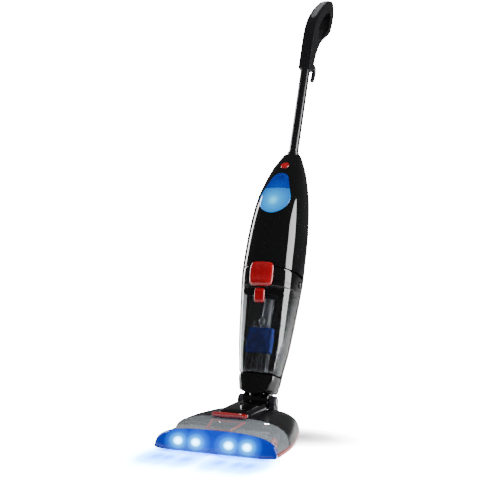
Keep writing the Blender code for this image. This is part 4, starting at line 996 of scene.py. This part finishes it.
class WASHER_OT_roller(Maker, bpy.types.Operator):
    """Pile sleeve with its tuft rows, the red end cap, the hood and the red frame."""
    bl_idname = "washer.roller"
    bl_label = "Roller and Hood"

    def make(self, sizes):
        axis = (0, ROLLER_Y, ROLLER_Z)
        x = np.linspace(-0.1080, 0.1080, 216)[:, None]
        a = np.linspace(0, 2 * math.pi, 160, endpoint=False)[None, :]
        spiral = 2 * math.pi * x / sizes.tuft_pitch + 3 * a
        r = ROLLER_R - sizes.tuft_depth * (0.5 + 0.5 * np.cos(spiral)) ** 3
        r = r - 0.0002 * (1 + np.sin(47 * a + 900 * x) * np.sin(31 * a - 1400 * x))
        r = r - 0.0022 * np.clip((np.abs(x) - 0.1055) / 0.0025, 0, 1) ** 2
        outer = np.stack([x + 0 * a, ROLLER_Y + r * np.cos(a), ROLLER_Z + r * np.sin(a)], axis=-1)
        bore = np.linspace(0.1080, -0.1080, 9)[:, None] + 0 * a
        inner = np.stack([bore, ROLLER_Y + 0.0128 * np.cos(a) + 0 * bore,
                          ROLLER_Z + 0.0128 * np.sin(a) + 0 * bore], axis=-1)
        pile = stack("roller_sleeve", in_head(np.concatenate([outer, inner])), wrap=True)
        put(pile, "roller", "pile", "pile", "roller_pile", edge=0, angle=80)
        rim = [(0.0043, 0.1215), (0.0160, 0.1215), (0.0160, 0.1262), (0.0152, 0.1270), (0.0120, 0.1270),
               (0.0112, 0.1258), (0.0070, 0.1258), (0.0062, 0.1268), (0.0043, 0.1268)]
        cap = turned("roller_cap", rim, axis, (1, 0, 0), 72, ring=True, place=in_head)
        put(cap, "roller", "red", "red", "roller_end_cap", edge=0.0003)
        self.hood(sizes)
        put(refined("suction_frame"), "head", "red", "red", "suction_frame", edge=0.0010)

    @staticmethod
    def hood(sizes):
        """Half-round wall over the roller, raised in narrow ribs along its length."""
        x = np.linspace(-0.1100, 0.1100, 441)[:, None]
        a = np.radians(np.linspace(8, 172, 60))[None, :]
        rib = np.exp(-((x / sizes.rib_pitch % 1 - 0.5) / 0.10) ** 4)
        walls = []
        for r in (0.0260 + 0.0007 * rib * np.sin(a) ** 0.2, 0.0242 + 0 * rib):
            walls.append(in_head(np.stack([x + 0 * a, ROLLER_Y + np.cos(a) * r, ROLLER_Z + np.sin(a) * r],
                                          axis=-1)))
        hood = slab("roller_hood_skin", *walls)
        port = block("port_tool", (-0.024, 0.046, 0.040), (0.024, 0.074, 0.055), in_head)
        put(cut(hood, port), "head", "mid_grey", "mid_grey", "roller_hood", edge=0)


class WASHER_OT_head_cover(Maker, bpy.types.Operator):
    """Satin rear cover of the head, glossy cowl before the neck, and the red bumper strip."""
    bl_idname = "washer.head_cover"
    bl_label = "Head Cover, Cowl and Bumper"

    def make(self, sizes):
        y = np.concatenate([np.linspace(0.1052, 0.270, 70), np.linspace(0.2715, 0.2932, 40)])
        cover = slab("head_cover_skin", in_head(head_arches(y, 181)), in_head(head_arches(y, 181, WALL)))
        tools = [block("neck_tool", (-0.0515, 0.2300, 0.0), (0.0515, 0.3100, 0.1000), in_head),
                 block("cowl_tool", (-0.0415, 0.1100, 0.0300), (0.0415, 0.2320, 0.1000), in_head)]
        for side in (1, -1):
            tools.append(block("arch_tool", (side * WHEEL_X - 0.0095, 0.2420, -0.01),
                               (side * WHEEL_X + 0.0095, 0.3100, 0.0460), in_head))
        put(cut(cover, *tools), "head", "satin_black", "satin_black", "head_cover", edge=0)
        self.cowl()
        self.bumper()

    @staticmethod
    def cowl():
        """Arched sections that round off at the nose and the tail."""
        table = np.array([(0.1105, 0.0310, 0.0600), (0.1110, 0.0345, 0.0668), (0.1122, 0.0370, 0.0722),
                          (0.1145, 0.0386, 0.0768), (0.1250, 0.0405, 0.0806), (0.1700, 0.0410, 0.0830),
                          (0.2150, 0.0410, 0.0820), (0.2250, 0.0398, 0.0806), (0.2290, 0.0375, 0.0770),
                          (0.2310, 0.0345, 0.0715)])
        y = np.concatenate([np.linspace(0.1105, 0.1150, 22), np.linspace(0.117, 0.2240, 40),
                            np.linspace(0.2250, 0.2310, 22)])[:, None]
        a = np.linspace(0, math.pi, 91)[None, :]
        walls = []
        for inset in (0.0, 0.0022):
            half, top = station(table, y) - inset, station(table, y, 2) - inset - 0.0560
            walls.append(in_head(np.stack([signed_power(np.cos(a), 0.5) * half, y + 0 * a,
                                           0.0560 + np.abs(np.sin(a)) ** 0.5 * np.maximum(top, 0.0004)],
                                          axis=-1)))
        put(slab("neck_cowl_skin", *walls), "head", "gloss_black", "gloss_black", "neck_cowl")

    @staticmethod
    def bumper():
        """The plan outline swept up a low, slightly crowned strip."""
        y = np.linspace(0.0260, 0.2935, 150)
        right = np.stack([station(HEAD_PLAN, y), y], axis=1)
        back = np.stack([np.linspace(0.060, -0.060, 40)[1:-1], np.full(38, 0.2935)], axis=1)
        line = np.vstack([right, back, (right * (-1, 1))[::-1]])
        along = np.gradient(line, axis=0)
        along /= np.linalg.norm(along, axis=1)[:, None]
        inward = np.stack([-along[:, 1], along[:, 0]], axis=1)
        s = np.linspace(0, 1, 9)
        crown = 0.0007 * np.abs(2 * s - 1) ** 4
        walls = []
        for depth in (crown, 0 * s + 0.0022):
            xy = line[None] + inward[None] * depth[:, None, None]
            z = np.broadcast_to((0.0035 + 0.0083 * s)[:, None, None], xy[..., :1].shape)
            walls.append(in_head(np.concatenate([xy, z], axis=-1)))
        put(slab("bumper_strip", *walls), "head", "red", "red", "side_skirt", edge=0)


class WASHER_OT_neck(Maker, bpy.types.Operator):
    """Glossy hollow yoke that reclines on the two pins and carries the body's swivel."""
    bl_idname = "washer.neck"
    bl_label = "Neck"

    def make(self, sizes):
        barrel = [(0, -0.0330), (0.0195, -0.0330), (0.0205, -0.0320), (0.0205, 0.0320),
                  (0.0195, 0.0330), (0, 0.0330)]
        yoke = turned("neck_yoke_skin", barrel, (0, 0, 0), (1, 0, 0), 96)
        throat = turned("throat", [(0, -0.0040), (0.0240, -0.0040), (0.0240, 0.0150), (0.0235, 0.0155),
                                   (0.0205, 0.0155), (0.0205, 0.0450), (0, 0.0450)],
                        (0, 0, 0), (0, 0, 1), 96)
        cut(yoke, throat, operation="UNION")
        bore = turned("bore", [(0, -0.03), (0.0165, -0.03), (0.0165, 0.07), (0, 0.07)],
                      (0, 0, 0), (0, 0, 1), 72)
        pins = turned("pins", [(0, -0.04), (0.0063, -0.04), (0.0063, 0.04), (0, 0.04)],
                      (0, 0, 0), (1, 0, 0), 48)
        put(cut(yoke, bore, pins), "neck", "gloss_black", "gloss_black", "neck_yoke", edge=0)
        for node_name, slot_name in (("neck_pin_left", "steel"), ("neck_pin_right", "steel"),
                                     ("rear_axle", "steel")):
            put(refined(node_name), "head", "steel", slot_name, node_name, edge=0)
        put(refined("retaining_ring"), "neck", "steel", "steel", "retaining_ring", edge=0)
        wheel = [(0.0205, 0.0080), (0.0218, 0.0072), (WHEEL_R, 0.0060), (WHEEL_R, -0.0060),
                 (0.0218, -0.0072), (0.0205, -0.0080), (0.0150, -0.0080), (0.0140, -0.0050),
                 (0.0060, -0.0050), (0.0060, -0.0080), (0.0028, -0.0080), (0.0028, 0.0080)]
        for side, label in ((-1, "left"), (1, "right")):
            tyre = turned("wheel_" + label, wheel, (side * WHEEL_X, WHEEL_Y, WHEEL_R), (side, 0, 0), 96,
                          ring=True, place=in_head)
            put(tyre, "wheel_" + label, "rubber", "rubber", "rear_wheel_" + label, edge=0)


class WASHER_OT_tube(Maker, bpy.types.Operator):
    """Coated tube with its ferrule, cord gland and the two cord hooks."""
    bl_idname = "washer.tube"
    bl_label = "Tube and Hooks"

    def make(self, sizes):
        up = (0, 0, 1)
        shaft = turned("shaft", [(TUBE_R, TUBE_TOP), (TUBE_R, 0.5853), (TUBE_R - 0.0012, 0.5853),
                                 (TUBE_R - 0.0012, TUBE_TOP)], (0, 0, 0), up, 72, ring=True)
        put(shaft, "body", "tube_black", "tube_black", "handle_tube", edge=0)
        collar = turned("shaft_collar", [(0.0158, 0.6468), (0.0158, 0.6395), (0.0150, 0.6385),
                                         (0.0128, 0.6385), (0.0128, 0.6480), (0.0146, 0.6480)],
                        (0, 0, 0), up, 72, ring=True)
        put(collar, "body", "satin_black", "satin_black", "tube_ferrule", edge=0)
        back = float(station(BODY, 0.5450, 2)) + 2 * GAP
        h = np.linspace(0.0030, 0.0165, 40)
        ribbed = np.stack([0.0064 - 0.0019 * (h - 0.003) / 0.0135
                           + 0.0005 * np.sign(np.sin(h * 2 * math.pi / 0.0034)), h], 1)
        sleeve = np.vstack([[(0, 0), (0.0095, 0), (0.0095, 0.0030)], ribbed,
                            [(0.0040, 0.0170), (0, 0.0170)]])
        put(turned("cord_sleeve", sleeve, (0, back, 0.5450), (0, 1, 0)), "body", "rubber", "rubber",
            "cord_gland", edge=0)
        lower = [(0, 0.0238, 0.4560), (0, 0.0420, 0.4550), (0, 0.0540, 0.4640), (0, 0.0560, 0.4800),
                 (0, 0.0550, 0.4930)]
        put(tube("lower_hook", catmull(lower, 8), 0.0055, in_body), "body", "satin_black",
            "satin_black", "lower_cord_hook", edge=0)
        upper = [(0, 0.0200, 0.9003), (0, 0.0260, 0.9015), (0, 0.0380, 0.9120), (0, 0.0500, 0.9205),
                 (0, 0.0605, 0.9150), (0, 0.0615, 0.8990), (0, 0.0562, 0.8810)]
        put(tube("upper_hook", catmull(upper, 8), 0.0058, in_body), "cord_hook", "satin_black",
            "satin_black", "cord_hook", edge=0)


class WASHER_OT_handle(Maker, bpy.types.Operator):
    """Two moulded halves of the loop handle, the lighter grip pad and the spray trigger."""
    bl_idname = "washer.handle"
    bl_label = "Handle"

    def make(self, sizes):
        outer = catmull(HANDLE_OUT, 5)
        hole = catmull(HANDLE_HOLE, 5, closed=True)
        for side, label in ((-1, "left"), (1, "right")):
            half = self.half(outer, hole, side, "handle_half_" + label)
            put(half, "body", "satin_black", "satin_black", "handle_" + label, edge=0)
        self.pad(outer)
        put(refined("spray_trigger"), "spray_trigger", "satin_black", "satin_black",
            "spray_trigger", edge=0)

    @staticmethod
    def half(outer, hole, side, name):
        """One half: the flat outline filled, given its depth, and its edge rolled to a radius."""
        curve = bpy.data.curves.new(name, "CURVE")
        curve.dimensions = "2D"
        curve.fill_mode = "BOTH"
        curve.extrude = HANDLE_HALF
        for line in (outer, hole):
            spline = curve.splines.new("POLY")
            spline.points.add(len(line) - 1)
            spline.points.foreach_set("co", np.column_stack(
                [line, np.zeros(len(line)), np.ones(len(line))]).ravel())
            spline.use_cyclic_u = True
        temp = bpy.data.objects.new(name, curve)
        bpy.context.scene.collection.objects.link(temp)
        mesh = bpy.data.meshes.new_from_object(temp.evaluated_get(
            bpy.context.evaluated_depsgraph_get()))
        bpy.data.objects.remove(temp, do_unlink=True)
        cleaned(mesh)
        obj = bpy.data.objects.new(name, mesh)
        bpy.context.scene.collection.objects.link(obj)
        mod = obj.modifiers.new("roll", "BEVEL")
        mod.width, mod.segments, mod.limit_method = 0.0060, 6, "ANGLE"
        mod.angle_limit = math.radians(60)
        cut(obj)
        work = bmesh.new()
        work.from_mesh(obj.data)
        bmesh.ops.bisect_plane(work, geom=work.verts[:] + work.edges[:] + work.faces[:],
                               plane_co=(0, 0, side * GAP / 2), plane_no=(0, 0, -side), clear_outer=True)
        rim = [e for e in work.edges if e.is_boundary]
        bmesh.ops.triangle_fill(work, edges=rim, use_beauty=True)
        work.to_mesh(obj.data)
        work.free()
        count = len(obj.data.vertices)
        flat = np.empty(count * 3)
        obj.data.vertices.foreach_get("co", flat)
        v, t, x = flat.reshape(-1, 3).T
        obj.data.vertices.foreach_set("co", in_body(np.stack([x, v, t], 1)).ravel())
        cleaned(obj.data)
        return obj

    @staticmethod
    def pad(outer):
        """A thin band over the top of the loop, its section a flat superellipse."""
        line = outer[int(4.5 * 5):int(10.5 * 5) + 1]
        along = np.gradient(line, axis=0)
        along /= np.linalg.norm(along, axis=1)[:, None]
        outward = np.stack([-along[:, 1], along[:, 0]], axis=1)
        a = np.linspace(0, 2 * math.pi, 48, endpoint=False)
        s = np.linspace(-1, 1, len(line))
        end = (1 - np.abs(s) ** 16) ** 0.5 * 0.98 + 0.02
        across = signed_power(np.cos(a), 0.5)[None, :] * 0.0080 * end[:, None]
        lift = GAP + 0.0008 + signed_power(np.sin(a), 0.7)[None, :] * 0.0008 * end[:, None]
        vt = line[:, None, :] + outward[:, None, :] * lift[..., None]
        rings = np.stack([across, vt[..., 0], vt[..., 1]], axis=-1)
        put(stack("grip_band", in_body(rings)), "body", "grip", "mid_grey", "grip_pad", edge=0)


class WASHER_OT_packed_nodes(Maker, bpy.types.Operator):
    """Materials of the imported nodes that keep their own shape."""
    bl_idname = "washer.packed_nodes"
    bl_label = "Inner Parts"

    def make(self, sizes):
        slots = {row["node"]: row["material_slot"] for row in frame["record"]["subparts"]}
        for name, obj in frame["nodes"].items():
            finish = material(slots[name])
            if not obj.material_slots:
                obj.data.materials.append(finish)
            for held in obj.material_slots:
                held.link = "OBJECT"
                held.material = finish


def facing(out):
    """Rotation of a lamp or camera whose back points along a direction."""
    return math.acos(out[2] / np.linalg.norm(out)), 0, math.atan2(out[0], -out[1])


class WASHER_OT_stage(Maker, bpy.types.Operator):
    """Pale floor with a painted pool of blue light and a painted shadow, soft studio lights and the camera.
    """
    bl_idname = "washer.stage"
    bl_label = "Studio"

    def make(self, sizes):
        scene = bpy.context.scene
        self.floor(scene.washer_colours.floor)
        self.surroundings(scene)
        self.light("key", (-1.4, -2.6, 2.6), (0, 0, 0.4), (1.6, 1.6), 60, glossy=False)
        self.light("strip_right", (1.9, 0.10, 0.75), (0, 0, 0.5), (1.20, 1.9), 100)
        self.light("strip_left", (-1.9, 0.30, 0.75), (0, 0, 0.5), (0.40, 1.9), 50)
        self.light("top", (0, 0.2, 3.0), (0, 0, 0), (2.6, 2.6), 90, glossy=False)
        data = bpy.data.cameras.new("camera")
        data.lens = LENS_MM
        data.sensor_width = SENSOR_MM
        camera = bpy.data.objects.new("camera", data)
        camera.location = in_head(CAMERA_PLACE)
        camera.rotation_euler = facing(CAMERA_BACK)
        scene.collection.objects.link(camera)
        scene.camera = camera

    @staticmethod
    def floor(colour):
        points = np.array([(-30, -30, 0), (30, -30, 0), (30, 30, 0), (-30, 30, 0)], float)
        floor = made("studio_floor", points + (0, 0, -0.0002), np.array([[0, 1, 2, 3]]))
        finish = bpy.data.materials.new("studio_floor")
        finish.use_nodes = True
        tree = finish.node_tree
        tree.nodes.remove(tree.nodes["Principled BSDF"])
        place = node(tree, "ShaderNodeTexCoord").outputs["Object"]
        far = node(tree, "ShaderNodeVectorMath", {0: place}, operation="LENGTH").outputs["Value"]
        far = node(tree, "ShaderNodeMapRange", {"Value": far}, {"From Min": 0.7, "From Max": 2.2})
        # Painted light: a pool of blue glow drawn into the floor's colour ahead of the lens, round these
        # centres, in place of light from the lamps.
        lamps = [np.array([x, HEAD_FRONT_Y - 0.045, 0.0]) for x in (-0.110, *LAMP_X, 0.110)]
        painted_floor_light = ramp(tree, painted_light_near(tree, place, lamps, (0.070, 0.120, 1.0)),
                    [(0.0, (1.0, 1.0, 1.0)), (0.20, (0.36, 0.60, 0.98)),
                     (0.48, (0.05, 0.21, 0.60)), (0.90, (0.003, 0.055, 0.30))])
        # Painted shadow: a soft grey patch drawn into the floor's colour to the right of the head, in place
        # of a shadow cast by the lamps.
        side = [np.array([0.115, HEAD_FRONT_Y + 0.25, 0.0])]
        shade = ramp(tree, painted_light_near(tree, place, side, (0.200, 0.125, 1.0)),
                     [(0.0, (1.0, 1.0, 1.0)), (0.30, (0.42, 0.42, 0.43)),
                      (0.65, (0.12, 0.12, 0.125)), (1.0, (0.05, 0.05, 0.052))])
        # The painted blue glow and the painted shadow, multiplied into one painted floor colour.
        painted_floor_light = node(tree, "ShaderNodeMixRGB", {"Color1": painted_floor_light, "Color2": shade}, {"Fac": 1.0},
                    blend_type="MULTIPLY").outputs["Color"]
        near = node(tree, "ShaderNodeBsdfDiffuse", values={"Color": rgba(colour, 0.9)})
        gain = node(tree, "ShaderNodeVectorMath", {0: painted_floor_light}, operation="SCALE")
        gain.inputs["Scale"].default_value = FLOOR_GAIN
        bright = node(tree, "ShaderNodeBsdfDiffuse", {"Color": gain.outputs["Vector"]})
        white = node(tree, "ShaderNodeEmission", values={"Strength": WHITE_LEVEL})
        shown = node(tree, "ShaderNodeMixShader", {"Fac": far.outputs["Result"], 1: bright.outputs["BSDF"],
                                                   2: white.outputs["Emission"]})
        seen = node(tree, "ShaderNodeLightPath")
        mix = node(tree, "ShaderNodeMixShader", {"Fac": seen.outputs["Is Camera Ray"],
                                                 1: near.outputs["BSDF"], 2: shown.outputs["Shader"]})
        tree.links.new(tree.nodes["Material Output"].inputs["Surface"], mix.outputs["Shader"])
        floor.data.materials.append(finish)

    @staticmethod
    def surroundings(scene):
        world = bpy.data.worlds.new("studio")
        world.use_nodes = True
        scene.world = world
        tree = world.node_tree
        back = tree.nodes["Background"]
        seen = node(tree, "ShaderNodeLightPath")
        level = node(tree, "ShaderNodeMapRange", {"Value": seen.outputs["Is Camera Ray"]},
                     {"To Min": ROOM_LEVEL, "To Max": WHITE_LEVEL})
        tree.links.new(back.inputs["Strength"], level.outputs["Result"])
        back.inputs["Color"].default_value = (1.0, 1.0, 1.0, 1.0)

    @staticmethod
    def light(name, place, aim, size, power, glossy=True):
        data = bpy.data.lights.new(name, "AREA")
        data.shape = "RECTANGLE"
        data.size, data.size_y = size
        data.energy = power
        lamp = bpy.data.objects.new(name, data)
        lamp.location = place
        lamp.rotation_euler = facing(np.array(place, float) - aim)
        lamp.visible_camera = False
        lamp.visible_glossy = glossy
        lamp.visible_transmission = glossy
        bpy.context.scene.collection.objects.link(lamp)


OPERATORS = (
    WASHER_OT_packed_nodes, WASHER_OT_shells, WASHER_OT_window, WASHER_OT_button, WASHER_OT_tank,
    WASHER_OT_tank_insides, WASHER_OT_lens, WASHER_OT_roller_cover, WASHER_OT_roller,
    WASHER_OT_head_cover, WASHER_OT_neck, WASHER_OT_tube, WASHER_OT_handle, WASHER_OT_stage)


class WASHER_PT_panel(bpy.types.Panel):
    """Lists the operators and the values that they read."""
    bl_idname = "WASHER_PT_panel"
    bl_label = "Floor Washer"
    bl_space_type = "VIEW_3D"
    bl_region_type = "UI"
    bl_category = "Washer"

    def draw(self, context):
        column = self.layout.column(align=True)
        for made_by in OPERATORS:
            column.operator(made_by.bl_idname)
        for group in (context.scene.washer_sizes, context.scene.washer_colours):
            column.separator()
            for key in group.__annotations__:
                column.prop(group, key)


CLASSES = (WasherSizes, WasherColours, *OPERATORS, WASHER_PT_panel)


def register():
    for cls in CLASSES:
        bpy.utils.register_class(cls)
    bpy.types.Scene.washer_sizes = bpy.props.PointerProperty(type=WasherSizes)
    bpy.types.Scene.washer_colours = bpy.props.PointerProperty(type=WasherColours)


def unregister():
    del bpy.types.Scene.washer_sizes
    del bpy.types.Scene.washer_colours
    for cls in reversed(CLASSES):
        bpy.utils.unregister_class(cls)


def main():
    register()
    for made_by in OPERATORS:
        group, name = made_by.bl_idname.split(".")
        getattr(getattr(bpy.ops, group), name)()


if __name__ == "__main__":
    main()
